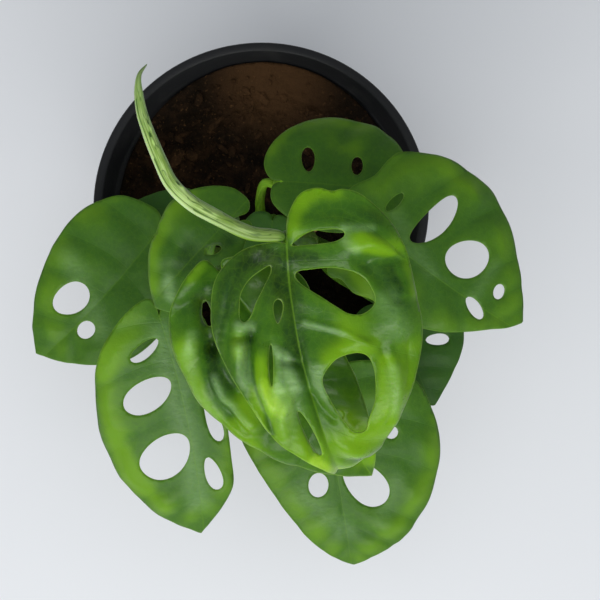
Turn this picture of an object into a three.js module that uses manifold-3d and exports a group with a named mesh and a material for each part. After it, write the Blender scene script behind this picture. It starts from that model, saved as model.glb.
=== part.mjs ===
// Monstera adansonii in a black nursery pot.
//
// Millimetres, +Z up. The origin is the centre of the pot's underside, and the
// plant leans out over the pot's -Y side, towards its light.
//
// The pot is one thin turned shell with drain holes. The soil is one block that
// fills it, with a socket for each of four stems. Every leaf is a blade and a
// petiole: the petiole rises from its stem and turns up under the blade's base.

import * as THREE from 'three';
import { mergeVertices } from 'three/addons/utils/BufferGeometryUtils.js';
import Module from 'manifold-3d';

const wasm = await Module();
wasm.setup();

// ---------------------------------------------------------------- dimensions

const GAP = 0.3;                  // clearance between neighbouring pieces

// Pot
const RIM_RADIUS = 60;            // outermost edge of the lip
const BASE_RADIUS = 43;
const POT_HEIGHT = 105;
const WALL = 1.2;
const FLOOR = 1.6;
const COLLAR_HEIGHT = 14;         // the wider band below the lip
const COLLAR_STEP = 1.9;          // how far the band stands out from the wall
const LIP_DEPTH = 2.2;
const POT_SIDES = 48;
const DRAIN_HOLES = 8;
const DRAIN_RADIUS = 4;
const DRAIN_CIRCLE = 32;

// Soil
const SOIL_TOP = 91;
const SOIL_CROWN = 1.5;           // the middle is this much higher than the edge
const SOCKET_DEPTH = 14;          // how deep a stem stands in the soil

// Plant
const BLADE_THICKNESS = 0.8;
const BLADE_CELL = 7.5;           // size of the facets that let a blade bend
const MARGIN_STEPS = 2;           // straight runs between two margin points
const HOLE_SIDES = 12;
const LOOP_SIDES = 28;
const PETIOLE_RADIUS = 1.3;
const STEM_RADIUS = 2.8;
const STEM_TAPER = 0.2;           // the share of its radius that a stem loses by its tip
const SPEAR_RADIUS = 1.7;
const ROOT_RADIUS = 0.9;

// The plant's tables are drawn round an axis of their own. It stands this far
// from the pot's axis, because the plant isn't quite in the middle of its pot.
const PLANT_AXIS = [-0.4, -1.8, 0];

const DEGREE = Math.PI / 180;

// ------------------------------------------------------------------- colours

const finish = (colour, roughness) => ({ color: colour, roughness, metalness: 0 });
const BLACK_PLASTIC = finish('#17181a', 0.45);
const DARK_SOIL = finish('#2a1c12', 0.95);
const LEAF_GREEN = finish('#4c7a2c', 0.4);
const SHADED_GREEN = finish('#35602c', 0.45);
const PETIOLE_GREEN = finish('#6f9440', 0.45);
const STEM_GREEN = finish('#587a35', 0.5);
const SPEAR_GREEN = finish('#a9c860', 0.4);
const ROOT_BROWN = finish('#6b5136', 0.8);

// -------------------------------------------------------------------- leaves
//
// A blade is drawn flat and then bent. Flat, s runs along the midrib from the
// petiole's joint and t across it, to the left of someone who looks from the
// joint to the tip. Each margin runs from the joint, round the basal lobe, to
// the tip. A hole is [s, t of one end, s, t of the other end, width, blunt, bow],
// or a round of points where it isn't an oval.
// heading and pitch aim the midrib at the joint, turn is how far it curves to
// the left by the tip, droop how far it curves down, and droopPower how late.
// fold lifts each half away from flat at the midrib, and cup curves it on from
// there over halfWidth; both are [left, right] in degrees.

const LEAVES = [
  {
    name: 'top', colour: LEAF_GREEN, joint: [11, -39, 251], length: 74, halfWidth: 27,
    heading: -88, pitch: -14, turn: 28, droop: 105, droopPower: 4.5, fold: [4, 16], cup: [-20, -30],
    left: [[0, 0], [-6.5, 0.5], [-12, 3.5], [-13.5, 8], [-12.6, 11.8], [-13, 15], [-11, 20],
      [-4, 27], [5, 31], [20, 32], [31, 32], [40, 29.5], [49, 24.5], [57, 18], [64.5, 12.2],
      [70, 7], [74, 0]],
    right: [[0, 0], [-0.4, -4.5], [1.4, -11.8], [7, -18.2], [15, -20.5], [22, -20.5], [29, -18.5],
      [38, -15.5], [47, -12.4], [53, -8.2], [58.5, -5], [62.5, -3], [68, -1.2], [74, 0]],
    holes: [
      [[0.6, 1.2], [-1.5, 3.5], [-2.8, 6], [-3.1, 9], [-3.1, 12.6], [-2.4, 14.2], [-1.2, 14.1],
        [-0.1, 12], [0.4, 8.5], [0.6, 4.5]],
      [[8.8, 1.6], [7.3, 2.4], [7, 5.5], [6.9, 10], [7.4, 13], [8.9, 16.5], [10.9, 18.9],
        [13.5, 20.1], [17, 20.7], [19.5, 19.6], [20.9, 16.8], [20, 13.6], [17.7, 11], [14.4, 7.4],
        [11.2, 3.6]],
      [[37, 3.6], [34, 5], [31.7, 7.8], [31.1, 10.8], [31.4, 14.2], [33.2, 16.4], [36.8, 17.2],
        [41.5, 16.6], [46.5, 15], [51, 12.1], [53.7, 10.2], [52.7, 7.2], [48.5, 5.7], [43, 4.5]],
      [[5.4, -4.4], [6.1, -6.3], [8.2, -10], [11, -12.4], [14, -13.2], [16.8, -13.6],
        [17.8, -12.6], [16.6, -10.9], [13.5, -9], [10, -6.5], [7.2, -4.5]],
      [19.5, -4.5, 13.7, -3.3, 2.3, 0.4, 0], [24, -7.2, 34, -9.3, 1.3, 0, 0],
      [42, -4.4, 56, -2.7, 2.2, 0.1, 0],
    ],
  },
  {
    name: 'second', colour: LEAF_GREEN, joint: [-6, -44, 228], length: 73, halfWidth: 22,
    heading: -52, pitch: -14, turn: 0, droop: 30, droopPower: 2, fold: [25, 0], cup: [0, -30],
    left: [[0, 0], [-4, 3], [0, 10], [6, 16], [12, 18], [19, 16.8], [27, 15.2], [36, 14.3],
      [46, 12], [57, 8.3], [66, 4.5], [73, 0]],
    right: [[0, 0], [-6.5, -1], [-6.5, -6], [-4, -12.5], [0, -18.5], [8, -23], [15, -25],
      [24, -26.3], [34, -25], [43, -22], [52, -17.5], [60, -12], [67, -6], [73, 0]],
    holes: [[47.5, 1.5, 50, 3.5, 2.5, 0, 0], [2, -8, 8.5, -11.3, 3, 0.2, 0]],
  },
  {
    name: 'upper_left', colour: LEAF_GREEN, joint: [-7, -24, 201], length: 37, halfWidth: 18,
    heading: -136, pitch: -16, turn: 0, droop: 25, droopPower: 1.5, fold: [0, 0], cup: [-25, -25],
    left: [[0, 0], [-2.5, 1.9], [-5.2, 4.1], [-4.5, 6.5], [0, 8], [7, 11], [17, 12], [26.5, 9.5],
      [31, 6.5], [34.5, 1.5]],
    right: [[0, 0], [-3.2, 1], [-6.5, 2.4], [-8.8, 1.2], [-9.4, -1.6], [-8, -6.5], [-2.5, -12.2],
      [5.2, -16.3], [13, -15.6], [19.5, -13], [25.5, -8.8], [30.5, -3.2], [34.5, 1.5]],
    holes: [[10.5, 1.5, 6, 4, 2.5, 0, 0]],
  },
  {
    name: 'left', colour: LEAF_GREEN, joint: [-36, -14, 125], length: 61, halfWidth: 24,
    heading: -128, pitch: -12, turn: -16, droop: 15, droopPower: 1, fold: [3, 3], cup: [-15, -15],
    left: [[0, 0], [-4, 4], [-2, 11], [6, 18], [17, 22.5], [28, 23], [38, 20.5], [47, 13.5],
      [55, 5.5], [61, -2.5]],
    right: [[0, 0], [-5, 0], [-8, -3], [-8, -8], [-5, -17], [1, -22.5], [9, -26], [20, -27],
      [34, -24.5], [46, -18.5], [55, -11], [61, -2.5]],
    holes: [[29, -6, 44, -10, 10.5, -0.1, 0], [36.5, 4.5, 43.5, 2.5, 6, 0, 0]],
  },
  {
    name: 'lower_left', colour: LEAF_GREEN, joint: [-29, -47, 169], length: 77, halfWidth: 22,
    heading: -72, pitch: -15, turn: -16, droop: 25, droopPower: 1, fold: [0, 0], cup: [-25, -25],
    left: [[0, 0], [-4, 3], [-3.5, 8], [3, 12.5], [15, 14], [28, 13.3], [39, 12], [49, 11.5],
      [58, 11], [64, 8.5], [71, 3.5], [77, -1]],
    right: [[0, 0], [-4, 0], [-6.5, -2], [-4.5, -8.5], [1, -16.5], [10, -23.5], [22, -27.5],
      [38, -29.5], [53, -26.5], [64, -20], [71, -12], [77, -1]],
    holes: [[6.5, -2.5, 11.5, -12.5, 4.7, 0.1, 0], [20, -2.5, 28, -18.5, 10.3, 0.1, 0],
      [39, -2, 53.5, -16, 13.4, 0.1, 0], [28, 6.5, 43.5, 9, 4, 0.5, 0],
      [48, 4, 60, 6, 5, 0.2, 0]],
  },
  {
    name: 'front', colour: LEAF_GREEN, joint: [22, -68, 136], length: 64, halfWidth: 33,
    heading: -80, pitch: -15, turn: 0, droop: 20, droopPower: 1, fold: [3, 3], cup: [-20, -20],
    left: [[0, 0], [-5, 1.5], [-8, 6], [-8.5, 14], [-5, 25], [3, 32], [12, 35], [21, 36.5],
      [31, 35.3], [42, 31], [51, 25], [58, 17], [64, 0.5]],
    right: [[0, 0], [-5, -0.5], [-8.5, -4], [-9, -12], [-5, -21.5], [3, -28], [10, -29.5],
      [18, -27.5], [27, -24], [38, -19.3], [51, -12.5], [59, -6], [64, 0.5]],
    holes: [[26.7, -6, 35.5, -7.5, 6.7, 0, 0], [24.5, 3.5, 42, 14, 12, 0.15, 0],
      [15.3, 20.5, 19.7, 19.7, 4.3, 0, 0], [8, -9, 12, -19, 5, 0.1, 0]],
  },
  {
    name: 'right', colour: LEAF_GREEN, joint: [36, -19, 173], length: 61.5, halfWidth: 28,
    heading: -40, pitch: -12, turn: 16, droop: 18, droopPower: 1, fold: [2, 2], cup: [-18, -18],
    left: [[0, 0], [-5, -1], [-11, 0.5], [-12, 5], [-9, 12], [-8.7, 19], [-7, 24], [1, 30],
      [11, 34], [23, 35], [31, 34], [41, 28.5], [50, 20], [58, 9.5], [61.5, 3]],
    right: [[0, 0], [-4, -2], [-2.8, -8], [-2.8, -14], [-1.8, -18.5], [0.8, -20.4], [4, -18.8],
      [9, -19.5], [14.5, -17.6], [23, -18], [32, -15.5], [41, -11], [51, -4.5], [57, -1], [61.5, 3]],
    holes: [[0.8, 6.4, 1.7, 14, 3, 0, 0], [13.5, 4, 18, 24.3, 8.5, 0.1, 1.2],
      [26, 6, 39, 15.5, 12, 0, 0.6], [46, 7.5, 50.5, 7.7, 5, 0, 0],
      [39, 0.4, 47, -2.6, 4.4, 0.1, 0]],
  },
  {
    name: 'back', colour: LEAF_GREEN, joint: [8, 3, 136], length: 46, halfWidth: 22,
    heading: -4, pitch: 4, turn: 0, droop: 20, droopPower: 1, fold: [2, 2], cup: [-30, -30],
    left: [[0, 0], [-4, 1], [-6.3, 6], [-4.5, 12.5], [1, 19.5], [9.5, 24.3], [19, 26.2],
      [29, 25], [37, 20], [43, 11], [46, 0.5]],
    right: [[0, 0], [-3, -2], [-2, -8], [7, -14], [19, -16], [30, -13.5], [39, -8], [46, 0.5]],
    holes: [[9, 3.8, 8, 12.5, 4.5, 0.1, 0], [25, 4, 25.3, 10.6, 4, 0, 0]],
  },
  {
    name: 'low_right', colour: SHADED_GREEN, joint: [46, -38, 113], length: 37, halfWidth: 18,
    heading: -66, pitch: -4, turn: 0, droop: 20, droopPower: 1, fold: [2, 2], cup: [-15, -15],
    left: [[0, 0], [-4, 2], [-2, 8], [3, 17], [11, 21.5], [18, 20.7], [25, 15.5], [32, 7.5],
      [37, 1]],
    right: [[0, 0], [-4, -2], [-5, -9], [0, -17], [8, -22], [19, -19], [29, -11], [37, 1]],
    holes: [[14, 7, 17, 15, 4, 0.1, 0]],
  },
  {
    name: 'small_left', colour: SHADED_GREEN, joint: [-23, -3, 110], length: 24, halfWidth: 12,
    heading: 170, pitch: -2, turn: 0, droop: 10, droopPower: 1, fold: [0, 0], cup: [-10, -10],
    left: [[0, 0], [-4, 3], [-2, 8], [6, 10], [14, 7], [20, 3.5], [24, 0]],
    right: [[0, 0], [-3, -3], [-1, -7], [5, -9], [12, -7], [19, -3.5], [24, 0]],
    holes: [],
  },
  {
    name: 'small_inner', colour: SHADED_GREEN, joint: [5, -10, 132], length: 34, halfWidth: 12,
    heading: -95, pitch: -8, turn: 0, droop: 10, droopPower: 1, fold: [0, 0], cup: [-10, -10],
    left: [[0, 0], [-1.8, 0.6], [-2.6, 2.4], [-1.6, 5.6], [2, 8], [8, 9], [20, 7.7], [28, 4],
      [34, 0]],
    right: [[0, 0], [-2.2, -0.6], [-3.2, -2.6], [-2.8, -6.2], [0, -9], [4, -10.3], [10, -10],
      [20, -7.5], [28, -4], [34, 0]],
    holes: [],
  },
];

// --------------------------------------------------------- stems and petioles
//
// A stem's line starts at the bottom of its socket in the soil. A petiole leaves
// its stem at the height of its node, or goes on from the stem's tip, and passes
// through the via points on its way to the blade. stout widens one that has a
// broad sheath.

const STEMS = {
  centre: {
    rings: 12,
    line: [[14, -6, SOIL_TOP - SOCKET_DEPTH], [15, -8, 100], [17, -14, 125], [18, -20, 148]],
  },
  left: {
    rings: 12,
    line: [[-12, -16, SOIL_TOP - SOCKET_DEPTH], [-13, -17, 100], [-15, -20, 125], [-15, -24, 145]],
  },
  short: {
    rings: 6,
    line: [[-3, -12, SOIL_TOP - SOCKET_DEPTH], [-3, -12, 92], [-2, -13, 107]],
  },
  front: {
    rings: 6,
    line: [[14, -28, SOIL_TOP - SOCKET_DEPTH], [14, -29, 92], [15, -31, 106]],
  },
};

const PETIOLES = {
  top: { stem: 'centre', node: 'tip', via: [[16, -26, 182], [14.3, -32.3, 216]] },
  second: { stem: 'centre', node: 140, azimuth: 200, via: [[7.5, -26, 165], [-1, -34, 200]] },
  right: { stem: 'centre', node: 124, azimuth: -30, via: [[28, -20.5, 143]] },
  upper_left: { stem: 'left', node: 'tip', via: [[-13.5, -24.5, 165], [-9, -22.5, 187]] },
  lower_left: { stem: 'left', node: 132, azimuth: 235, via: [[-23, -33, 150]] },
  left: { stem: 'left', node: 108, azimuth: 180, via: [[-26, -17, 117]] },
  back: {
    stem: 'short', node: 103, azimuth: 100, via: [[0.1, -3.1, 111], [0.4, 0.2, 119], [2.6, 4.3, 128]],
    stout: 1.35,
  },
  small_left: { stem: 'short', node: 98, azimuth: 165, via: [[-15, -6, 104]] },
  small_inner: { stem: 'short', node: 105, azimuth: 20, via: [[4, -8, 116]] },
  front: { stem: 'front', node: 'tip', via: [[17, -37, 117], [20, -52, 129]] },
  low_right: { stem: 'centre', node: 99, azimuth: -50, via: [[24.5, -23.5, 109.5], [37, -32, 112]] },
};

// A petiole is stoutest at its foot and swells again below the blade.
const PETIOLE_SHARES = [1.25, 1.1, 1.05, 1, 0.95, 0.9, 0.9, 0.9, 0.95, 1, 1.05, 1];

function petioleRadii(petiole) {
  return PETIOLE_SHARES.map((share) => share * PETIOLE_RADIUS * (petiole.stout ?? 1));
}

// The blade's underside is met this far ahead of the joint, and the petiole
// turns square to it over this depth.
const SEAT_AHEAD = 1.5;
const SEAT_DEPTH = 4;
const SEAT_GAP = 0.35;
const PETIOLE_RISE = 50;          // degrees above level where it leaves its stem
const BUD_REACH = 3;              // how far it runs straight from there
const TIP_REACH = 4;

// The newest leaf is still rolled up. It stands beside the top petiole's end.
const SPEAR_LINE = [
  [9.3, -37.4, 252.1], [2, -37, 254.5], [-6, -33.5, 256], [-13, -29.5, 257], [-17.5, -25, 258],
  [-20, -20, 259.5], [-22.5, -14, 261], [-24.5, -8, 262.5], [-25, 0, 264.5], [-23, 2.5, 266],
];
const SPEAR_SHARES = [
  0.8, 1, 1, 1.05, 1.1, 1.1, 1.1, 1.05, 1, 1, 0.95, 0.9, 0.85, 0.75, 0.6, 0.3, 0.1,
];
const SPEAR_RADII = SPEAR_SHARES.map((share) => share * SPEAR_RADIUS);

const ROOTS = [
  { name: 'centre_root', stem: 'centre', node: 113, azimuth: 30, via: [[23, -6, 108], [25, -3, 99]] },
  { name: 'left_root', stem: 'left', node: 118, azimuth: 150, via: [[-20, -14, 113], [-21, -12, 103]] },
];
const ROOT_SHARES = [1, 1, 0.95, 0.9, 0.85, 0.8, 0.6, 0.3];
const ROOT_RADII = ROOT_SHARES.map((share) => share * ROOT_RADIUS);

// --------------------------------------------------------------------- solids

function solid(geometry) {
  const bare = geometry.clone();
  bare.deleteAttribute('normal');
  bare.deleteAttribute('uv');
  const merged = mergeVertices(bare);
  const index = merged.index.array;
  const triangles = [];
  for (let i = 0; i < index.length; i += 3) {
    const [a, b, c] = [index[i], index[i + 1], index[i + 2]];
    if (a !== b && b !== c && c !== a) triangles.push(a, b, c);
  }
  return new wasm.Manifold(new wasm.Mesh({
    numProp: 3,
    vertProperties: new Float32Array(merged.attributes.position.array),
    triVerts: new Uint32Array(triangles),
  }));
}

function geometryOf(manifold) {
  const mesh = manifold.getMesh();
  const geometry = new THREE.BufferGeometry();
  geometry.setAttribute('position', new THREE.BufferAttribute(new Float32Array(mesh.vertProperties), 3));
  geometry.setIndex(new THREE.BufferAttribute(new Uint32Array(mesh.triVerts), 1));
  return geometry;
}

function node(name, geometry, look) {
  const mesh = new THREE.Mesh(geometry, new THREE.MeshStandardMaterial(look));
  mesh.name = name;
  return mesh;
}

// --------------------------------------------------------------------- blades

// A hole is an oval along the line between its two ends, or a smooth loop through
// its points. blunt makes the oval's second end wider than the first, and bow bends
// it sideways.
function holePath(hole) {
  if (Array.isArray(hole[0])) {
    const corners = hole.map(([s, t]) => new THREE.Vector3(s, t, 0));
    const loop = new THREE.CatmullRomCurve3(corners, true, 'catmullrom', 0.5);
    const spots = loop.getPoints(LOOP_SIDES).slice(0, LOOP_SIDES);
    const around = spots.map((point) => new THREE.Vector2(point.x, point.y));
    return new THREE.Path(THREE.ShapeUtils.isClockWise(around) ? around.reverse() : around);
  }
  const [s1, t1, s2, t2, width, blunt, bow] = hole;
  const axis = new THREE.Vector2(s2 - s1, t2 - t1).multiplyScalar(0.5);
  const across = new THREE.Vector2(-axis.y, axis.x).normalize();
  const points = [];
  for (let i = 0; i < HOLE_SIDES; i += 1) {
    const angle = (i / HOLE_SIDES) * 2 * Math.PI;
    const c = Math.cos(angle);
    const side = (width / 2) * Math.sin(angle) * (1 + blunt * c) + bow * (c * c - 0.5);
    points.push(new THREE.Vector2((s1 + s2) / 2, (t1 + t2) / 2)
      .addScaledVector(axis, c)
      .addScaledVector(across, side));
  }
  return new THREE.Path(points);
}

function marginPoints(side) {
  const spline = new THREE.SplineCurve(side.map(([s, t]) => new THREE.Vector2(s, t)));
  return spline.getPoints((side.length - 1) * MARGIN_STEPS);
}

// The flat leaf: a plate of small cells cut to the leaf's outline. A plate that
// is slightly domed keeps its cells through the cut, so the dome goes in here
// and comes out again in bendBlade.
const DOME = 0.0004;
const domeAt = (s, t) => DOME * (s * s + t * t);

function flatBlade(leaf) {
  const reach = leaf.length + 40;
  const span = 2 * leaf.halfWidth + 24;
  const plate = new THREE.BoxGeometry(
    reach,
    span,
    BLADE_THICKNESS,
    Math.round(reach / BLADE_CELL),
    Math.round(span / BLADE_CELL),
    1,
  );
  plate.translate(reach / 2 - 20, 0, 0);
  const corner = plate.attributes.position;
  for (let i = 0; i < corner.count; i += 1) {
    corner.setZ(i, corner.getZ(i) + domeAt(corner.getX(i), corner.getY(i)));
  }
  const left = marginPoints(leaf.left);
  const right = marginPoints(leaf.right).reverse();
  const outline = new THREE.Shape([...left, ...right.slice(1, -1)]);
  outline.holes = leaf.holes.map(holePath);
  const depth = 20;
  const cutter = new THREE.ExtrudeGeometry(outline, { depth, bevelEnabled: false, steps: 1 });
  cutter.translate(0, 0, -depth / 2);
  return geometryOf(solid(plate).intersect(solid(cutter)));
}

// Where the midrib runs: its place and its own three directions at s.
function midribAt(leaf, s) {
  const steps = Math.max(1, Math.ceil(Math.abs(s)));
  const place = new THREE.Vector3(...leaf.joint);
  const ahead = new THREE.Vector3();
  const aim = (at) => {
    const along = Math.max(0, at) / leaf.length;
    const heading = (leaf.heading + leaf.turn * along) * DEGREE;
    const pitch = (leaf.pitch - leaf.droop * along ** leaf.droopPower) * DEGREE;
    ahead.set(Math.cos(pitch) * Math.cos(heading), Math.cos(pitch) * Math.sin(heading), Math.sin(pitch));
    return heading;
  };
  for (let i = 0; i < steps; i += 1) {
    aim((s * (i + 0.5)) / steps);
    place.addScaledVector(ahead, s / steps);
  }
  const heading = aim(s);
  const leftward = new THREE.Vector3(-Math.sin(heading), Math.cos(heading), 0);
  const upward = new THREE.Vector3().crossVectors(ahead, leftward);
  return { place, ahead: ahead.clone(), leftward, upward };
}

// A point of the bent blade, height above its middle surface.
function bladePoint(leaf, s, t, height) {
  const { place, leftward, upward } = midribAt(leaf, s);
  const half = t > 0 ? 0 : 1;
  const side = Math.sign(t);
  const fold = leaf.fold[half] * DEGREE;
  const curl = (leaf.cup[half] * DEGREE) / leaf.halfWidth || 1e-6;
  const angle = fold + curl * Math.abs(t);
  const out = (Math.sin(angle) - Math.sin(fold)) / curl - height * Math.sin(angle) * Math.abs(side);
  const up = (Math.cos(fold) - Math.cos(angle)) / curl + height * (side === 0 ? 1 : Math.cos(angle));
  return place.clone().addScaledVector(leftward, side * out).addScaledVector(upward, up);
}

function bendBlade(leaf) {
  const geometry = flatBlade(leaf);
  const corner = geometry.attributes.position;
  for (let i = 0; i < corner.count; i += 1) {
    const s = corner.getX(i);
    const t = corner.getY(i);
    const bent = bladePoint(leaf, s, t, corner.getZ(i) - domeAt(s, t));
    corner.setXYZ(i, bent.x, bent.y, bent.z);
  }
  return geometry;
}

// ----------------------------------------------------------- stems and stalks

// A round body that follows a line: a turned profile whose axis is laid along a
// smooth curve. radii are spread evenly from its start to its end.
function growAlong(points, radii, sides) {
  const curve = new THREE.CatmullRomCurve3(points);
  const last = radii.length - 1;
  const profile = [
    new THREE.Vector2(0, 0),
    ...radii.map((radius, i) => new THREE.Vector2(radius, i / last)),
    new THREE.Vector2(0, 1),
  ];
  const body = new THREE.LatheGeometry(profile, sides);
  const frames = curve.computeFrenetFrames(last);
  const corner = body.attributes.position;
  for (let i = 0; i < corner.count; i += 1) {
    const along = corner.getY(i);
    const ring = Math.round(along * last);
    const place = curve.getPointAt(along)
      .addScaledVector(frames.normals[ring], corner.getX(i))
      .addScaledVector(frames.binormals[ring], -corner.getZ(i));
    corner.setXYZ(i, place.x, place.y, place.z);
  }
  return body;
}

const vector = (p) => new THREE.Vector3(...p);

// Moves a finished piece of the plant to its place in the pot.
const planted = (geometry) => geometry.translate(...PLANT_AXIS);

function stemCurve(stem) {
  return new THREE.CatmullRomCurve3(stem.line.map(vector));
}

const stemRadius = (along) => STEM_RADIUS * (1 - STEM_TAPER * along);

// The point of a stem's axis at a height, the way the stem runs there and its
// radius. A height above the stem gives its tip.
function stemAt(stem, height) {
  const curve = stemCurve(stem);
  const samples = 200;
  let i = 0;
  while (i < samples && curve.getPointAt(i / samples).z < height) i += 1;
  const along = i / samples;
  return {
    place: curve.getPointAt(along),
    ahead: curve.getTangentAt(along),
    radius: stemRadius(along),
  };
}

function stemRadii(stem, extra) {
  const radii = [];
  for (let i = 0; i <= stem.rings; i += 1) {
    radii.push(stemRadius(i / stem.rings) + extra);
  }
  return radii;
}

const stemSolid = (stem, extra) => growAlong(stem.line.map(vector), stemRadii(stem, extra), 8);

// Where a stalk leaves its stem: level with the node, clear of the stem's side.
function budPoints(stem, height, azimuth, radius, rise) {
  const { place, radius: stemSide } = stemAt(stem, height);
  const outward = new THREE.Vector3(Math.cos(azimuth * DEGREE), Math.sin(azimuth * DEGREE), 0);
  const tilt = rise * DEGREE;
  const first = place.clone()
    .addScaledVector(outward, stemSide + GAP + radius * Math.sin(tilt));
  const next = first.clone()
    .addScaledVector(outward, BUD_REACH * Math.cos(tilt))
    .add(new THREE.Vector3(0, 0, BUD_REACH * Math.sin(tilt)));
  return [first, next];
}

// The youngest stalk goes straight on from its stem's end.
function tipPoints(stem) {
  const { place, ahead } = stemAt(stem, Infinity);
  return [GAP, GAP + TIP_REACH].map((distance) => place.clone().addScaledVector(ahead, distance));
}

// A petiole ends square to the underside of its blade, just behind the joint.
function petiolePoints(leaf, petiole) {
  const stem = STEMS[petiole.stem];
  const start = petiole.node === 'tip'
    ? tipPoints(stem)
    : budPoints(stem, petiole.node, petiole.azimuth, petioleRadii(petiole)[0], PETIOLE_RISE);
  const underside = -BLADE_THICKNESS / 2 - SEAT_GAP;
  const seat = bladePoint(leaf, SEAT_AHEAD, 0, underside);
  const below = bladePoint(leaf, SEAT_AHEAD, 0, underside - SEAT_DEPTH);
  return [...start, ...petiole.via.map(vector), below, seat];
}

// ------------------------------------------------------------------- pot, soil

function turned(outline, sides) {
  const profile = outline.map(([radius, height]) => new THREE.Vector2(radius, height));
  const body = new THREE.LatheGeometry(profile, sides);
  body.rotateX(Math.PI / 2);
  return body;
}

// The wall's outer radius at a height below the collar.
const wallRadius = (height) => {
  const top = RIM_RADIUS - LIP_DEPTH - COLLAR_STEP;
  return BASE_RADIUS + ((top - BASE_RADIUS) * height) / POT_HEIGHT;
};

function potShell() {
  const collar = POT_HEIGHT - COLLAR_HEIGHT;
  const step = wallRadius(collar) + COLLAR_STEP;
  const outside = [
    [0, 0], [BASE_RADIUS - 1, 0], [wallRadius(1.5), 1.5], [wallRadius(collar), collar],
    [step, collar + 0.8], [RIM_RADIUS - LIP_DEPTH, POT_HEIGHT - 2.4],
    [RIM_RADIUS, POT_HEIGHT - 2], [RIM_RADIUS, POT_HEIGHT],
  ];
  const inside = [
    [RIM_RADIUS - LIP_DEPTH - WALL, POT_HEIGHT], [step - WALL, collar + 1.6],
    [wallRadius(collar) - WALL, collar], [wallRadius(FLOOR) - WALL, FLOOR], [0, FLOOR],
  ];
  let shell = solid(turned([...outside, ...inside], POT_SIDES));
  for (let i = 0; i < DRAIN_HOLES; i += 1) {
    const angle = ((i + 0.5) / DRAIN_HOLES) * 2 * Math.PI;
    const drill = new THREE.CylinderGeometry(DRAIN_RADIUS, DRAIN_RADIUS, 4 * FLOOR, 12);
    drill.rotateX(Math.PI / 2);
    drill.translate(DRAIN_CIRCLE * Math.cos(angle), DRAIN_CIRCLE * Math.sin(angle), FLOOR / 2);
    shell = shell.subtract(solid(drill));
  }
  return geometryOf(shell);
}

function soilBlock() {
  const bottom = FLOOR + GAP;
  const edge = (height) => wallRadius(height) - WALL - GAP;
  const outline = [
    [0, bottom], [edge(bottom), bottom], [edge(SOIL_TOP), SOIL_TOP],
    [0.6 * edge(SOIL_TOP), SOIL_TOP + 0.7 * SOIL_CROWN], [0, SOIL_TOP + SOIL_CROWN],
  ];
  let soil = solid(turned(outline, POT_SIDES));
  for (const stem of Object.values(STEMS)) {
    soil = soil.subtract(solid(planted(stemSolid(stem, GAP))));
  }
  return geometryOf(soil);
}

// ------------------------------------------------------------------- the plant

const plant = new THREE.Group();

plant.add(node('nursery_pot', potShell(), BLACK_PLASTIC));
plant.add(node('potting_soil', soilBlock(), DARK_SOIL));

for (const [name, stem] of Object.entries(STEMS)) {
  plant.add(node(`${name}_stem`, planted(stemSolid(stem, 0)), STEM_GREEN));
}

for (const leaf of LEAVES) {
  plant.add(node(`${leaf.name}_leaf`, planted(bendBlade(leaf)), leaf.colour));
  const petiole = PETIOLES[leaf.name];
  const grown = growAlong(petiolePoints(leaf, petiole), petioleRadii(petiole), 8);
  plant.add(node(`${leaf.name}_petiole`, planted(grown), PETIOLE_GREEN));
}

const spear = growAlong(SPEAR_LINE.map(vector), SPEAR_RADII, 8);
plant.add(node('furled_leaf', planted(spear), SPEAR_GREEN));

for (const root of ROOTS) {
  const start = budPoints(STEMS[root.stem], root.node, root.azimuth, ROOT_RADIUS, 0);
  const points = [...start, ...root.via.map(vector)];
  plant.add(node(root.name, planted(growAlong(points, ROOT_RADII, 6)), ROOT_BROWN));
}

export default plant;
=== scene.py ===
# %% [markdown]
# # A potted Monstera adansonii
# A young Swiss cheese plant in a black nursery pot. The measured model of the plant is loaded
# first and stays as it is. Every piece made below stands in for one of its nodes and keeps to
# that node's place, so the looks can be worked on without moving anything.

# %% Load the measured model
import math
import random

import bmesh
import bpy
import numpy as np
from mathutils import Matrix, Vector, noise


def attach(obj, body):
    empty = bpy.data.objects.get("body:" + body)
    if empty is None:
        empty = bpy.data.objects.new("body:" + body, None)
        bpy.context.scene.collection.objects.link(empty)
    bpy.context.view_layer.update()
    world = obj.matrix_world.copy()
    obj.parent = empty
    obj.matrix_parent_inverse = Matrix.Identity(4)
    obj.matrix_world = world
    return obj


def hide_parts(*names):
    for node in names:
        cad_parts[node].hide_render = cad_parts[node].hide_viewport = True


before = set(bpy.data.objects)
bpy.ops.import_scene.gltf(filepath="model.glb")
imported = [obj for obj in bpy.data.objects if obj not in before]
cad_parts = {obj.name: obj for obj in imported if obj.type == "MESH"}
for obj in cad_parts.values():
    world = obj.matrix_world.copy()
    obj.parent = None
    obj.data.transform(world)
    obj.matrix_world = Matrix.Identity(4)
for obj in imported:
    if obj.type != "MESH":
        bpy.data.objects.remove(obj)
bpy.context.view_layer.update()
MM = 0.001  # the plant's tables are in millimetres, Blender works in metres
PLANT_AXIS = Vector((-0.4, -1.8, 0))  # mm, where the plant's own axis stands in the pot
print("nodes in the model:", len(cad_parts))

# %% [markdown]
# ## The camera
# The plant is looked at from almost straight above, a little from its front, with a long lens
# so that the leaves near the lens don't grow much larger than the pot. The camera comes before
# everything else, because it says which surfaces need the most work.

# %% Place the camera
CAMERA_PLACE = Vector((13.9, -103.6, 595.6)) * MM
CAMERA_TILT = math.radians(8)  # away from looking straight down
LENS_MM = 84
SENSOR_MM = 36
NEAREST = 0.01  # m, nothing nearer to the lens is drawn


def put(name, data):
    """Puts a mesh, a lamp or a camera into the scene as an object."""
    made = bpy.data.objects.new(name, data)
    bpy.context.scene.collection.objects.link(made)
    return made


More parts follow.
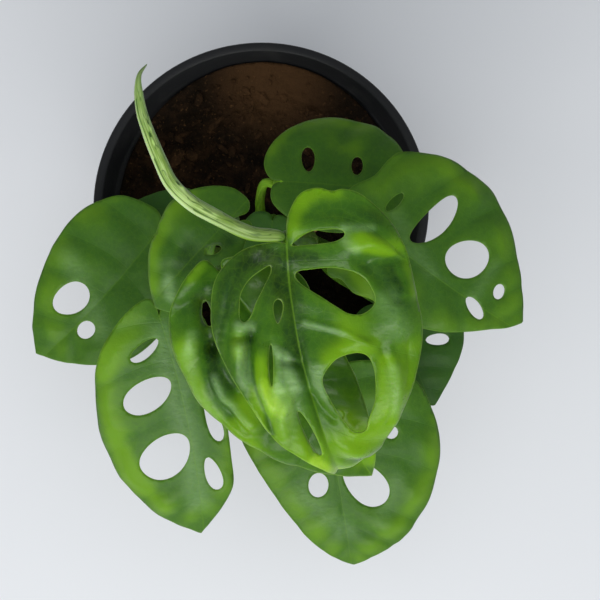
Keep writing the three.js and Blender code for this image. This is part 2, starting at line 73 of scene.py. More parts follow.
def place_camera():
    data = bpy.data.cameras.new("camera")
    data.lens = LENS_MM
    data.sensor_width = SENSOR_MM
    data.clip_start = NEAREST
    camera = put("camera", data)
    camera.location = CAMERA_PLACE
    camera.rotation_euler = (CAMERA_TILT, 0, 0)
    bpy.context.scene.camera = camera


place_camera()
print("camera stands", round(CAMERA_PLACE.length, 3), "m from the pot's underside")

# %% [markdown]
# ## Small tools
# Leaves, stalks and the pot all need the same few things: a smooth curve through a handful of
# chosen points, places spread evenly along it, and a way to turn a bmesh into an object.
# A spline through given points is used instead of a long list, because a leaf's margin or
# a stalk's bend is easier to correct when only its main points are written down.


# %% Curves through chosen points
TINY = 1e-9  # keeps a division by a length of 0 harmless
CLOSEST = 1e-4  # the least root of a distance between two chosen points
CURVE_STEPS = 8  # steps between two chosen points of a flat curve
STALK_STEPS = 24  # and of a stalk


def cubic_run(start, end, leave, arrive, steps):
    """steps points from start towards end, along a cubic that leaves and arrives as told."""
    line = []
    for k in range(steps):
        x = k / steps
        cubic = (2 * start - 2 * end + leave + arrive) * x ** 3
        cubic = cubic + (3 * end - 3 * start - 2 * leave - arrive) * x ** 2
        line.append(cubic + leave * x + start)
    return line


def even_spline(points):
    """A uniform Catmull-Rom curve through 2-D points, with its ends held."""
    spots = [Vector(p) for p in points]
    last = len(spots) - 1
    line = []
    for i, (start, end) in enumerate(zip(spots, spots[1:])):
        leave = (end - spots[max(i - 1, 0)]) / 2
        arrive = (spots[min(i + 2, last)] - start) / 2
        line += cubic_run(start, end, leave, arrive, CURVE_STEPS)
    line.append(spots[-1])
    return line


def stalk_spline(points):
    """A centripetal Catmull-Rom curve through 3-D points: it never overshoots a close pair."""
    spots = [Vector(p) for p in points]
    spots.insert(0, 2 * spots[0] - spots[1])
    spots.append(2 * spots[-1] - spots[-2])
    line = []
    for p0, p1, p2, p3 in zip(spots, spots[1:], spots[2:], spots[3:]):
        runs = ((p0, p1), (p1, p2), (p2, p3))
        d0, d1, d2 = (max((b - a).length ** 0.5, CLOSEST) for a, b in runs)
        leave = ((p1 - p0) / d0 - (p2 - p0) / (d0 + d1) + (p2 - p1) / d1) * d1
        arrive = ((p2 - p1) / d1 - (p3 - p1) / (d1 + d2) + (p3 - p2) / d2) * d1
        line += cubic_run(p1, p2, leave, arrive, STALK_STEPS)
    line.append(spots[-2])
    return line


def distances(line):
    """How far along a line each of its points lies."""
    lengths = [0.0]
    for a, b in zip(line, line[1:]):
        lengths.append(lengths[-1] + (b - a).length)
    return lengths


def spread(line, parts, count):
    """count places, each one part of the line's length after the last, with their distances."""
    lengths = distances(line)
    places = []
    k = 0
    for i in range(count):
        goal = lengths[-1] * i / parts
        while k < len(line) - 2 and lengths[k + 1] < goal:
            k += 1
        share = (goal - lengths[k]) / max(lengths[k + 1] - lengths[k], TINY)
        places.append((line[k].lerp(line[k + 1], share), goal))
    return places


def walk(line, count):
    """count points spread evenly along a line, with the direction at each and the distance."""
    places = spread(line, count - 1, count)
    steps = []
    for i, (place, distance) in enumerate(places):
        before = places[max(i - 1, 0)][0]
        after = places[min(i + 1, count - 1)][0]
        steps.append((place, (after - before).normalized(), distance))
    return steps


def level(table, x):
    """The value at x in a table of (x, value) pairs, with straight runs between them."""
    for (x0, v0), (x1, v1) in zip(table, table[1:]):
        if x <= x1:
            return v0 + (v1 - v0) * max(0.0, min(1.0, (x - x0) / (x1 - x0)))
    return table[-1][1]


def bump_at(distance, width):
    """A smooth hump: 1 at distance 0, and close to 0 from two widths on."""
    return math.exp(-((distance / width) ** 2))


# %% From a bmesh to a piece
def mesh_of(name, bm):
    mesh = bpy.data.meshes.new(name)
    bm.to_mesh(mesh)
    bm.free()
    return mesh


def piece(name, bm, materials, node, slot, smooth=True):
    """Turns a bmesh in millimetres into an object that stands for a CAD node."""
    mesh = mesh_of(name, bm)
    if slot not in ("pot_plastic", "soil"):
        mesh.transform(Matrix.Translation(PLANT_AXIS))
    mesh.transform(Matrix.Scale(MM, 4))
    for face in mesh.polygons:
        face.use_smooth = smooth
    for material in materials:
        mesh.materials.append(material)
    made = put(name, mesh)
    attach(made, "root")
    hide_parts(node)
    return made


# %% [markdown]
# ## Writing shader maths
# A material here is a recipe of nodes. Numbers are wrapped in a small class so that a plain
# expression such as `1 - mask * 0.5` adds its own Math nodes. Colours never go through Math,
# which would turn them grey: they are mixed by Mix nodes.


# %% A wire that can be added and multiplied
class Wire:
    """A number or a colour that comes out of a node."""

    def __init__(self, recipe, socket):
        self.recipe = recipe
        self.socket = socket

    def __add__(self, other):
        return self.recipe.maths("ADD", self, other)

    def __sub__(self, other):
        return self.recipe.maths("SUBTRACT", self, other)

    def __rsub__(self, other):
        return self.recipe.maths("SUBTRACT", other, self)

    def __mul__(self, other):
        return self.recipe.maths("MULTIPLY", self, other)

    def __abs__(self):
        return self.recipe.maths("ABSOLUTE", self)

    __radd__ = __add__
    __rmul__ = __mul__


# %% A recipe of nodes
class Recipe:
    """One material under construction."""

    def __init__(self, name):
        self.material = bpy.data.materials.new(name)
        self.material.use_nodes = True
        self.tree = self.material.node_tree
        self.tree.nodes.clear()

    def node(self, kind, settings=None, sockets=None, output=0):
        """Adds a node: its settings first, then its sockets' values or links."""
        made = self.tree.nodes.new("ShaderNode" + kind)
        for key, value in (settings or {}).items():
            setattr(made, key, value)
        for key, value in (sockets or {}).items():
            if isinstance(value, Wire):
                self.tree.links.new(value.socket, made.inputs[key])
            else:
                made.inputs[key].default_value = value
        return Wire(self, made.outputs[output]) if made.outputs else made

    def maths(self, operation, *values):
        return self.node("Math", {"operation": operation}, dict(enumerate(values)))

    def step(self, value, low, high):
        """0 below low, 1 above high and a smooth rise between; high may be the lower one."""
        sockets = {"Value": value, "From Min": low, "From Max": high}
        return self.node("MapRange", {"interpolation_type": "SMOOTHSTEP"}, sockets)

    def layers(self, colour, *coats):
        """Lays coats over a colour, one after another: each has its share and its colour."""
        for share, coat in coats:
            both = {6: colour, 7: coat}
            values = {k: v if isinstance(v, Wire) else (*v, 1) for k, v in both.items()}
            settings = {"data_type": "RGBA", "clamp_factor": True}
            colour = self.node("Mix", settings, {0: share, **values}, output=2)
        return colour

    def place(self, scale=(1, 1, 1)):
        """The piece's own coordinates in metres from the plant's axis, stretched by scale."""
        spot = self.node("TexCoord", output=3)
        start = tuple(-MM * a * s for a, s in zip(PLANT_AXIS, scale))
        return self.node("Mapping", None, {"Vector": spot, "Location": start, "Scale": scale})

    def flat(self, name):
        """A place on one of the piece's flat maps."""
        return self.node("UVMap", {"uv_map": name})

    def split(self, spot):
        """The two numbers of a place on a flat map."""
        return [self.node("SeparateXYZ", None, {0: spot}, output=i) for i in (0, 1)]

    def stored(self, name):
        """A number that the mesh holds at each of its points."""
        return self.node("Attribute", {"attribute_name": name}, output=2)

    def cloud(self, where, size, detail=3, rough=0.5):
        """Noise from 0 to 1, in patches of about size."""
        sockets = {"Vector": where, "Scale": 1 / size, "Detail": detail, "Roughness": rough}
        return self.node("TexNoise", None, sockets)

    def streaks(self, wrap, stretch, size, detail, rough):
        """Noise drawn out along a stalk's map."""
        long = self.node("Mapping", None, {"Vector": wrap, "Scale": (*stretch, 1)})
        return self.cloud(long, size, detail, rough)

    def finish(self, colour, rough, shine, height=None, bump=None, soft=None):
        """Ends the recipe in one Principled shader.

        shine is its specular level and bump the strength and the depth (m) of the relief.
        soft says how much light soaks in, how far by colour, and the scale of that (m).
        """
        sockets = {"Base Color": colour, "Roughness": rough, "Specular IOR Level": shine}
        if height is not None:
            relief = {"Strength": bump[0], "Distance": bump[1], "Height": height}
            sockets["Normal"] = self.node("Bump", None, relief)
        if soft is not None:
            names = "Subsurface Weight", "Subsurface Radius", "Subsurface Scale"
            sockets.update(zip(names, soft))
        shader = self.node("BsdfPrincipled", None, sockets)
        self.node("OutputMaterial", None, {"Surface": shader})
        return self.material


def tint(red, green, blue):
    """A colour as a screen shows it, 0 to 255, in the linear form that shaders use."""
    shares = [v / 255 for v in (red, green, blue)]
    return tuple(v / 12.92 if v <= 0.04045 else ((v + 0.055) / 1.055) ** 2.4 for v in shares)


# %% [markdown]
# ## The leaf's skin
# A Monstera blade is waxy and quilted. Its upper side is deep green between the veins and
# yellower near the margin, with a thin pale line along every edge, also round the holes.
# The blade carries two flat maps. "flat" holds the place on the leaf in units of 100 mm, and
# "quilt" counts the side veins along the midrib, so a vein is wherever the count is whole.
# "edge" is the distance to the nearest margin. Light soaks a little way into the blade. Light and
# shade are painted into its colour too: lighter crowns, darker vein valleys, strokes of painted
# light and painted shade, a painted glow and a painted sheen.

# %% Blade materials
FLAT_UNIT = 100  # the flat maps count in units of so many millimetres
VEIN_HALF = 0.3  # mm
SHADE = (0.012, 0.042, 0.009)  # painted shade: the dark green that strokes below 0 lay where the blade lies in shadow
DARKEST_PAINTED_SHADE = (0.003, 0.012, 0.003)  # painted shade: the near black of the deepest shadows, in deep creases and under other leaves
PAINTED_SHEEN_COLOUR = tint(158, 194, 136)  # painted sheen: the pale glossy highlight on the blade's raised places
PAINTED_GLOW = tint(160, 202, 48)  # painted glow: the vivid yellow-green where light shines through the blade
LEAF_SOFT = (0.35, (0.55, 1.0, 0.1), 0.0009)


def blade_skin(name, deep, fresh_and_lit, gloss, rib=0.5, line=0.3, under=False):
    """rib and line say how clearly the pale midrib and the pale edge show."""
    recipe = Recipe(name)
    _, across = recipe.split(recipe.flat("flat"))
    count, gap = recipe.split(recipe.flat("quilt"))
    edge, crown, spots, painted_sheen = map(recipe.stored, ("edge", "crown", "fresh_and_lit", "painted_sheen"))
    across = abs(across) * FLAT_UNIT
    gap = gap * FLAT_UNIT
    where = recipe.place()
    patches = recipe.cloud(where, 0.014, 3, 0.55)
    mottle = recipe.cloud(where, 0.0016, 4, 0.6)
    grain = recipe.cloud(where, 0.0005, 2, 0.5)
    dents = recipe.cloud(where, 0.0042, 2, 0.45)
    wrinkles = recipe.cloud(recipe.place((1, 2.4, 1.6)), 0.0022, 3, 0.5)

    # side veins lie at the whole numbers of the count, and the midrib where across is 0
    away = abs(recipe.maths("FRACT", count + 0.5) - 0.5) * gap
    vein = recipe.step(away, VEIN_HALF, 0.05)
    valley = recipe.step(away, 3.2, 0.2)
    midrib = recipe.step(across, 0.35, 0.12)
    beside = recipe.step(across, 4.0, 0.4)
    mesh = {"Vector": where, "Scale": 520, "Randomness": 0.9}
    cells = recipe.node("TexVoronoi", {"feature": "DISTANCE_TO_EDGE"}, mesh)
    net = recipe.step(cells, 0.1, 0.0)
    # the share of the lighter colour: the leaf's own random patches, painted light on the quilt's
    # crowns, painted shade in the vein valleys, and the strokes, which paint light above 0, shade
    # below 0, and partly the leaf's own yellower patches
    fresh_and_lit_share = recipe.step(patches * 0.5 + crown * 0.14 + spots - valley * 0.08, 0.18, 0.88)
    # painted sheen: a pale highlight where the sheen strokes say, broken up by the wrinkles
    sheen_share = recipe.step(painted_sheen * (0.7 + wrinkles * 0.6), 0.08, 0.75)

    colour = recipe.layers(
        deep,
        (fresh_and_lit_share, fresh_and_lit),
        # painted glow where the strokes rise above 0.75
        (recipe.step(spots, 0.75, 1.4) * 0.7, PAINTED_GLOW),
        # painted shade where the strokes fall below 0, darkest in deep creases and under other
        # leaves
        (recipe.step(spots, -0.12, -0.6) * 0.75, SHADE),
        (recipe.step(spots, -0.6, -1.1) * 0.7, DARKEST_PAINTED_SHADE),
        (beside * 0.25, deep),
        (recipe.step(mottle, 0.35, 0.75) * 0.12, fresh_and_lit),
        (net * 0.08, fresh_and_lit),
        (recipe.step(edge, 3.5, 0.3) * 0.1, fresh_and_lit),
        (sheen_share * 0.55, PAINTED_SHEEN_COLOUR),
    )
    if under:
        ribs = recipe.maths("MAXIMUM", vein, midrib)
        coats = (0.45, tint(128, 158, 76)), (ribs * 0.7, tint(160, 182, 96))
    else:
        coats = (vein * 0.05, tint(92, 136, 44)), (midrib * rib, tint(96, 136, 30))
    edge_line = recipe.step(edge, 0.3, 0.08) * line
    colour = recipe.layers(colour, *coats, (edge_line, tint(150, 184, 78)))

    rough = gloss + mottle * 0.08 + recipe.step(patches, 0.3, 0.8) * 0.04
    height = dents * 1.8 + mottle * 0.35 + grain * 0.12 - net * 0.1 + wrinkles * (0.3 + sheen_share * 1.6)
    height = height + (vein + midrib) * (0.9 if under else -0.2)
    return recipe.finish(colour, rough, 0.18, height, (0.6, 0.00022), LEAF_SOFT)


DEEP = (0.036, 0.113, 0.009)
FRESH = (0.135, 0.29, 0.006)
FAR_DEEP = (0.04, 0.118, 0.013)
FAR_FRESH = (0.12, 0.26, 0.01)
SHADE_DEEP = (0.032, 0.098, 0.016)
SHADE_FRESH = (0.07, 0.165, 0.014)
UNDER_DEEP = (0.07, 0.15, 0.03)
UNDER_FRESH = (0.15, 0.26, 0.03)
# near is for the top two leaves, far for the lower ones with a fainter midrib and edge, and shade
# is a darker copy that paints shade on the small leaves lying low under the others
BLADE_TOPS = {
    "near": blade_skin("blade_top", DEEP, FRESH, 0.24),
    "far": blade_skin("blade_far", FAR_DEEP, FAR_FRESH, 0.4, 0.2, 0.15),
    "shade": blade_skin("blade_shade", SHADE_DEEP, SHADE_FRESH, 0.42, 0.1, 0.06),
}
blade_under = blade_skin("blade_under", UNDER_DEEP, UNDER_FRESH, 0.5, under=True)

# %% [markdown]
# ## The leaves
# Each blade is drawn flat, with s along its midrib and t across it, and bent afterwards, the
# way a leaf grows. A margin runs from the petiole's joint round the lobe to the tip. A hole is
# an oval between two points, wider towards its second end where `blunt` is above 0. Bending
# first and drawing later would be possible, but a flat outline can be compared with a pressed
# leaf, and the holes stay clean. Lengths are in millimetres and angles in degrees.

# %% The leaves' measures
USUAL = dict(  # what a leaf has where its own table says nothing
    turn=0, power=1, fold=(0, 0), cell=0.9, puff=1.4, crease=1.3, rib=0.15, skin="far",
    # the stroke tables paint onto the blade: light where a row is above 0, shade where it is below
    # 0, and sheen
    holes=(), folds=(), light_and_shade_strokes=(), painted_sheen=(),
)
LEAVES = {
    "top": dict(
        joint=(11, -39, 251), length=74, half=27, heading=-88, pitch=-14, turn=28, droop=105,
        power=4.5, fold=(4, 16), cup=(-20, -30), cell=0.6, puff=2.4,
        left=[(0, 0), (-6.5, 0.5), (-12, 3.5), (-13.5, 8), (-12.6, 11.8), (-13, 15), (-11, 20),
              (-4, 27), (5, 31), (20, 32), (31, 32), (40, 29.5), (49, 24.5), (57, 18), (64.5, 12.2),
              (70, 7), (74, 0)],
        right=[(0, 0), (-0.4, -4.5), (1.4, -11.8), (7, -18.2), (15, -20.5), (22, -20.5),
               (29, -18.5), (38, -15.5), (47, -12.4), (53, -8.2), (58.5, -5), (62.5, -3),
               (68, -1.2), (74, 0)],
        holes=[[(0.6, 1.2), (-1.5, 3.5), (-2.8, 6), (-3.1, 9), (-3.1, 12.6), (-2.4, 14.2),
                (-1.2, 14.1), (-0.1, 12), (0.4, 8.5), (0.6, 4.5)],
               [(8.8, 1.6), (7.3, 2.4), (7, 5.5), (6.9, 10), (7.4, 13), (8.9, 16.5), (10.9, 18.9),
                (13.5, 20.1), (17, 20.7), (19.5, 19.6), (20.9, 16.8), (20, 13.6), (17.7, 11),
                (14.4, 7.4), (11.2, 3.6)],
               [(37, 3.6), (34, 5), (31.7, 7.8), (31.1, 10.8), (31.4, 14.2), (33.2, 16.4),
                (36.8, 17.2), (41.5, 16.6), (46.5, 15), (51, 12.1), (53.7, 10.2), (52.7, 7.2),
                (48.5, 5.7), (43, 4.5)],
               [(5.4, -4.4), (6.1, -6.3), (8.2, -10), (11, -12.4), (14, -13.2), (16.8, -13.6),
                (17.8, -12.6), (16.6, -10.9), (13.5, -9), (10, -6.5), (7.2, -4.5)],
               (19.5, -4.5, 13.7, -3.3, 2.3, 0.4, 0), (24, -7.2, 34, -9.3, 1.3, 0, 0),
               (42, -4.4, 56, -2.7, 2.2, 0.1, 0)],
        veins=(((-14, -0.75, 0.034), (-2, -0.75, 0.034), (4.6, 0, 0.002), (19.6, 0.55, 0.003),
                (47.2, 1.1, -0.01), (58, 1.3, 0), (67, 1.5, 0), (78, 1.5, 0)),
               ((-10, 0.1, 0.05), (0.5, 0.2, 0.05), (10, 0.1, 0.085), (25, 0.7, 0.06),
                (36, 1.2, 0.02), (54, 1.5, 0), (65, 1.5, 0), (76, 1.5, 0))),
        crease=1.8, rib=0.4, skin="near",
        folds=[
            (1.4, 3, (-4, 3), (-5, 9.5), (-5, 15.5), (-3.5, 21.5), (-0.5, 25.5)),
            (-1.4, 5, (-11.5, 4), (-12, 13), (-7.5, 22.5), (-0.5, 28)),
            (1.2, 4, (1.5, 15.5), (1, 21.5), (2.5, 25.5)),
            (0.6, 2.3, (4.4, 0.5), (4.8, 8), (5.2, 15)), (-0.5, 2.5, (5.5, 19), (6, 27.5)),
            (-0.8, 1.6, (7.5, 20), (13.5, 23.5), (18.5, 26)), (0.8, 2, (9.5, 29), (17, 30)),
            (1, -1.3, (20.5, 3), (22.5, 7.5), (24, 11), (27, 14.5), (30, 17)),
            (1.2, 6, (18, 23), (25.5, 25)), (0.8, 2, (32, 6), (28.5, 9), (28.5, 14), (30, 17.5)),
            (-0.6, -0.9, (31.5, 20.5), (39, 21), (46.5, 20), (54.5, 16.5)),
            (0.5, 1.4, (32, 22), (40, 23), (47.5, 21.5), (55.5, 18)),
            (-0.5, -0.9, (31.5, 27.5), (39, 27), (45, 24.5)),
            (-0.8, 1, (39, 0.5), (44, 2), (47.5, 3.5)), (-0.5, -0.8, (40, 1), (48.5, 1), (61, 2)),
            (1.2, 1.8, (18.5, -14.5), (19, -12)), (-1, 0.9, (21, -15.5), (21.5, -11.5)),
            (1.2, 1.9, (23, -15), (28.5, -15.5), (32, -15)),
            (-1.4, 1.6, (19.5, -11.5), (24.5, -12.5), (30.5, -13.5), (38.5, -13), (47.5, -12)),
            (0.7, 2.2, (25, -10), (34, -11.5), (38, -11)), (1.1, 1.2, (26.5, -5.5), (34.5, -7.5)),
            (1.1, 1.6, (31, -4), (35.5, -3)), (-1, 1, (29, -5), (30.5, -1.5)),
            (0.9, 1.3, (38, -5), (41, -9)),
            (-0.8, -0.9, (37.5, -5), (41, -4.5), (46, -5), (54.5, -3.5)),
            (0.9, 4, (56, 5), (54.5, 8.5)), (-1.3, 5, (3, -10.5), (7, -3)),
            (0.8, 3.5, (9, -17), (4, -14), (1.5, -8)),
        ],
        light_and_shade_strokes=[
            (0.55, 2.4, (-2.5, 1.5), (-8, 2), (-11.5, 5), (-13, 9), (-12, 13)),
            (-0.22, 3.5, (-11, 14), (-8.5, 20), (-3, 26)), (0.2, 3, (-1.5, 27.5), (6.5, 30.5)),
            (0.7, 3.5, (0.5, 18.5), (3.5, 25.5)), (0.45, 2.5, (9, 29.5), (17, 30.5)),
            (0.3, 4, (15, 6.5), (24, 14)), (0.5, 3.5, (31, 7.5), (29, 12), (31, 17.5)),
            (0.6, 2, (36, 20.5), (41.5, 19.5), (50, 16.5)),
            (0.35, 5, (35, 26.5), (46.5, 23), (57, 16)), (0.8, 6, (56.5, 4.5), (55.5, 10)),
            (0.3, 3, (27, -10.5), (35, -11.5), (39, -11)), (0.4, 2.5, (19, -15), (24, -15)),
            (0.5, 6, (41.5, -11), (48.5, -10), (53, -8)),
            (1.1, 2.4, (56, -5), (58.5, -4), (61.5, -2.5), (66, -0.5), (69, 2), (69.5, 6)),
            (0.65, 2.8, (34, -10.4), (37, -9.4), (39.5, -8.6)), (0.25, 2, (25, -11), (31, -10.5)),
            (-0.4, 6, (3, -7.5), (11.5, -6.5)), (-0.35, 5, (2, -10), (7, -15), (13, -16.5)),
            (-0.4, 3, (2.5, -1), (12.5, 0.5), (22.5, 0.5), (30, 0)), (-0.5, 2, (3, 1.5), (4, 6)),
            (-0.75, 0.7, (20, -11.5), (24.5, -12.2), (30.5, -13.3), (38, -12.7), (45, -12.5)),
            (-0.3, 3, (-5.5, 9.5), (-4.5, 22.5)), (-0.3, 3, (4.5, 2.5), (7, 27.5)),
            (-0.3, 3, (9.5, 21), (14, 26.5)), (-0.6, 3.5, (2, -7), (4.5, -3.5), (9, -1.5)),
            (-0.5, 2.5, (11, -2), (19, -2), (27.5, -2)), (-0.3, 4, (3, -11), (9, -15), (16, -17.5)),
            (-0.45, 3, (19, -20.5), (25.5, -20), (31.5, -19)), (-0.3, 2, (19, -10), (25, -11)),
            (-0.35, 1.6, (25, 0), (34, 0)), (-0.4, 3, (10, 26.5), (19, 27)),
            (-0.3, 4, (14.5, 2), (18.5, 8)), (0.25, 3, (33, -11.5), (37, -10.5)),
            (0.3, 2.5, (66.5, 2), (68.5, 5)),
        ],
        painted_sheen=[
            (0.4, 2, (0, 14.5), (2.5, 17)), (0.35, 1.5, (-3.5, 14), (-3, 21.5)),
            (0.4, 1.1, (20.5, 2.5), (23, 7.5), (25.5, 11.5)), (0.3, 5, (18, 23), (28, 25)),
            (0.5, 1.8, (18.5, -14), (19, -11.5)), (0.45, 2, (23.5, -14.5), (31.5, -15)),
            (0.5, 1.6, (25.5, -6.5), (28, -4)), (0.25, 1.8, (29, -6), (34.5, -7.5)),
            (0.35, 2, (31, -4), (36, -3)), (0.22, 5, (39.5, -9.5), (46.5, -8.5)),
            (0.4, 2.5, (33, 3), (39.5, 3.5)), (0.35, 3, (39.5, 21.5), (51.5, 19)),
            (0.3, 4, (54, 5.5)), (0.25, 4, (36, -7), (40.5, -5.5)),
        ],
    ),
    "second": dict(
        joint=(-6, -44, 228), length=73, half=22, heading=-52, pitch=-14, droop=30, power=2,
        fold=(25, 0), cup=(0, -30), cell=0.8, puff=2.4,
        left=[(0, 0), (-4, 3), (0, 10), (6, 16), (12, 18), (19, 16.8), (27, 15.2), (36, 14.3),
              (46, 12), (57, 8.3), (66, 4.5), (73, 0)],
        right=[(0, 0), (-6.5, -1), (-6.5, -6), (-4, -12.5), (0, -18.5), (8, -23), (15, -25),
               (24, -26.3), (34, -25), (43, -22), (52, -17.5), (60, -12), (67, -6), (73, 0)],
        holes=[(47.5, 1.5, 50, 3.5, 2.5, 0, 0), (2, -8, 8.5, -11.3, 3, 0.2, 0)], skin="near",
        veins=((-12, 0, 12, 24, 36, 48, 60, 70), (-10, 2, 12, 24, 35, 46, 57, 68)),
        folds=[
            (1, 4, (7, -20), (13.5, -23), (21, -25), (30, -24.5), (37, -23), (50, -16.5)),
            (-2, 2.2, (2, -8.5), (5.5, -10), (9.5, -12.5), (13.5, -14.5)),
            (-1.3, 1.6, (14, -14.5), (17.5, -15), (21, -15.5), (27.5, -16)),
            (-1.4, 1.5, (13, -15), (17, -17.5), (22, -20), (27, -21.5), (31.5, -21.5), (38, -20)),
            (1.3, 1.8, (20, -17.5), (26, -19), (31, -19), (37, -18)),
            (0.8, 2.5, (-5.5, -1.5), (-5.5, -4.5), (-4, -9.5), (-3, -12.5)),
            (-0.8, 2.5, (-1.5, -3.5), (0.5, -9), (0, -13.5)), (0.8, 2.5, (51.5, 4), (54, 4.5)),
            (0.7, 2, (7, -15.5), (10, -18.5)),
        ],
        light_and_shade_strokes=[
            (0.5, 4, (10, -20), (16.5, -24), (23, -25), (30, -24.5), (37, -23.5), (44.5, -22)),
            (-0.85, 2.1, (2, -8.5), (5.5, -10), (9.5, -12.5), (13.5, -14.5)),
            (-0.7, 1.8, (13.5, -14.5), (17.5, -15), (21, -15.5), (25, -15.8)),
            (-0.6, 1.6, (14, -15.5), (17, -17.5), (22, -20), (27, -21.5), (31.5, -21.5)),
            (0.4, 2.5, (29.5, -16.5), (33, -17), (36, -17.5)),
            (0.45, 2.2, (-6, -2.5), (-5, -7)),
            (-0.35, 4, (-0.5, -4.5), (1.5, -12), (-2, -14.5)),
            (0.8, 3.5, (51, 3.5), (54.5, 5)), (0.6, 3, (66, 0.5), (67.5, 5)),
        ],
        painted_sheen=[
            (0.38, 1.6, (20, -17.5), (26, -19), (31, -19), (36, -18)),
            (0.3, 3, (12, -21), (20, -24.5), (30, -24)), (0.35, 2, (7, -15.5), (10, -18.5)),
        ],
    ),
    "upper_left": dict(
        joint=(-7, -24, 201), length=37, half=18, heading=-136, pitch=-16, droop=25, power=1.5,
        cup=(-25, -25), puff=1.8,
        left=[(0, 0), (-2.5, 1.9), (-5.2, 4.1), (-4.5, 6.5), (0, 8), (7, 11), (17, 12), (26.5, 9.5),
              (31, 6.5), (34.5, 1.5)],
        right=[(0, 0), (-3.2, 1), (-6.5, 2.4), (-8.8, 1.2), (-9.4, -1.6), (-8, -6.5), (-2.5, -12.2),
               (5.2, -16.3), (13, -15.6), (19.5, -13), (25.5, -8.8), (30.5, -3.2), (34.5, 1.5)],
        holes=[(10.5, 1.5, 6, 4, 2.5, 0, 0)],
        veins=((-8, 3, 13, 22, 31), (-8, 4, 14, 23, 31)),
        folds=[(0.9, 3, (21, -11), (27, -6), (30, -0.5)), (-0.8, 3, (14, -3.5), (19.5, -2))],
        light_and_shade_strokes=[
            (0.5, 3, (21, -12), (25, -7), (29.5, -2)), (-0.4, 4, (13.5, -3), (19.5, -0.5)),
            (0.4, 3, (18, -11.5), (9.5, -14.5), (2, -13.5)), (-0.5, 3, (3, 4), (10, 2.5), (15, 0)),
        ],
        painted_sheen=[(0.5, 2.5, (24.5, -1), (27.5, 2.5))],
    ),
    "left": dict(
        joint=(-36, -14, 125), length=61, half=24, heading=-128, pitch=-12, turn=-16, droop=15,
        fold=(3, 3), cup=(-15, -15),
        left=[(0, 0), (-4, 4), (-2, 11), (6, 18), (17, 22.5), (28, 23), (38, 20.5), (47, 13.5),
              (55, 5.5), (61, -2.5)],
        right=[(0, 0), (-5, 0), (-8, -3), (-8, -8), (-5, -17), (1, -22.5), (9, -26), (20, -27),
               (34, -24.5), (46, -18.5), (55, -11), (61, -2.5)],
        holes=[(29, -6, 44, -10, 10.5, -0.1, 0), (36.5, 4.5, 43.5, 2.5, 6, 0, 0)],
        veins=((-9, 4, 16, 29, 45, 54), (-12, 2, 14, 26, 42, 53)),
        light_and_shade_strokes=[
            (0.25, 6, (24.5, -25.5), (43.5, -13), (51.5, 1)), (-0.25, 8, (3, -8), (20, 4)),
            (0.2, 4, (11, -25.5), (-2, -18.5)),
        ],
        painted_sheen=[(0.3, 7, (26.5, -17.5), (36.5, 7))],
    ),
    "lower_left": dict(
        joint=(-29, -47, 169), length=77, half=22, heading=-72, pitch=-15, turn=-16, droop=25,
        cup=(-25, -25), puff=1.6,
        left=[(0, 0), (-4, 3), (-3.5, 8), (3, 12.5), (15, 14), (28, 13.3), (39, 12), (49, 11.5),
              (58, 11), (64, 8.5), (71, 3.5), (77, -1)],
        right=[(0, 0), (-4, 0), (-6.5, -2), (-4.5, -8.5), (1, -16.5), (10, -23.5), (22, -27.5),
               (38, -29.5), (53, -26.5), (64, -20), (71, -12), (77, -1)],
        holes=[(6.5, -2.5, 11.5, -12.5, 4.7, 0.1, 0), (20, -2.5, 28, -18.5, 10.3, 0.1, 0),
               (39, -2, 53.5, -16, 13.4, 0.1, 0), (28, 6.5, 43.5, 9, 4, 0.5, 0),
               (48, 4, 60, 6, 5, 0.2, 0)],
        veins=((-9, 4, 15, 26, 44, 60, 70), (-11, 2, 14, 31, 50, 62, 71)),
        folds=[
            (0.5, 5, (7.5, -19), (24, -23), (39.5, -22.5), (53.5, -19), (65, -10)),
            (0.4, 5, (67.5, 1), (57, 7)),
        ],
        light_and_shade_strokes=[
            (0.5, 4, (9, -21), (23.5, -24), (39.5, -23.5), (53.5, -20.5), (65.5, -12)),
            (0.3, 4, (69.5, -2.5), (61, 7), (47, 11)), (-0.3, 5, (9, -1), (27, -2.5), (44.5, -1)),
            (0.4, 6, (1, -9), (8, -19)), (0.3, 5, (44, -25), (58, -20)),
        ],
        painted_sheen=[(0.35, 6, (5.5, -1.5), (27, -1.5), (48.5, -1), (63.5, -1))],
    ),
    "front": dict(
        joint=(22, -68, 136), length=64, half=33, heading=-80, pitch=-15, droop=20,
        fold=(3, 3), cup=(-20, -20),
        left=[(0, 0), (-5, 1.5), (-8, 6), (-8.5, 14), (-5, 25), (3, 32), (12, 35), (21, 36.5),
              (31, 35.3), (42, 31), (51, 25), (58, 17), (64, 0.5)],
        right=[(0, 0), (-5, -0.5), (-8.5, -4), (-9, -12), (-5, -21.5), (3, -28), (10, -29.5),
               (18, -27.5), (27, -24), (38, -19.3), (51, -12.5), (59, -6), (64, 0.5)],
        holes=[(26.7, -6, 35.5, -7.5, 6.7, 0, 0), (24.5, 3.5, 42, 14, 12, 0.15, 0),
               (15.3, 20.5, 19.7, 19.7, 4.3, 0, 0), (8, -9, 12, -19, 5, 0.1, 0)],
        veins=((-12, 0, 10, 20, 36, 47, 56), (-12, 3, 14, 24, 36, 47, 56)),
        folds=[(0.8, 4, (18.5, 33), (34, 29.5), (49.5, 17), (58.5, 3.5))],
        light_and_shade_strokes=[
            (0.35, 4, (19, 35.5), (34.5, 31.5), (51, 18.5), (59.5, 3.5)),
            (0.35, 4, (16.5, -25), (35, -17), (56, -5)), (-0.2, 7, (24.5, 22), (31, 4)),
            (0.6, 3, (7, 7.5), (11.5, 6)),
        ],
        painted_sheen=[(0.3, 6, (32, -13), (49.5, -0.5)), (0.25, 5, (34.5, 19), (48, 12))],
    ),
    "right": dict(
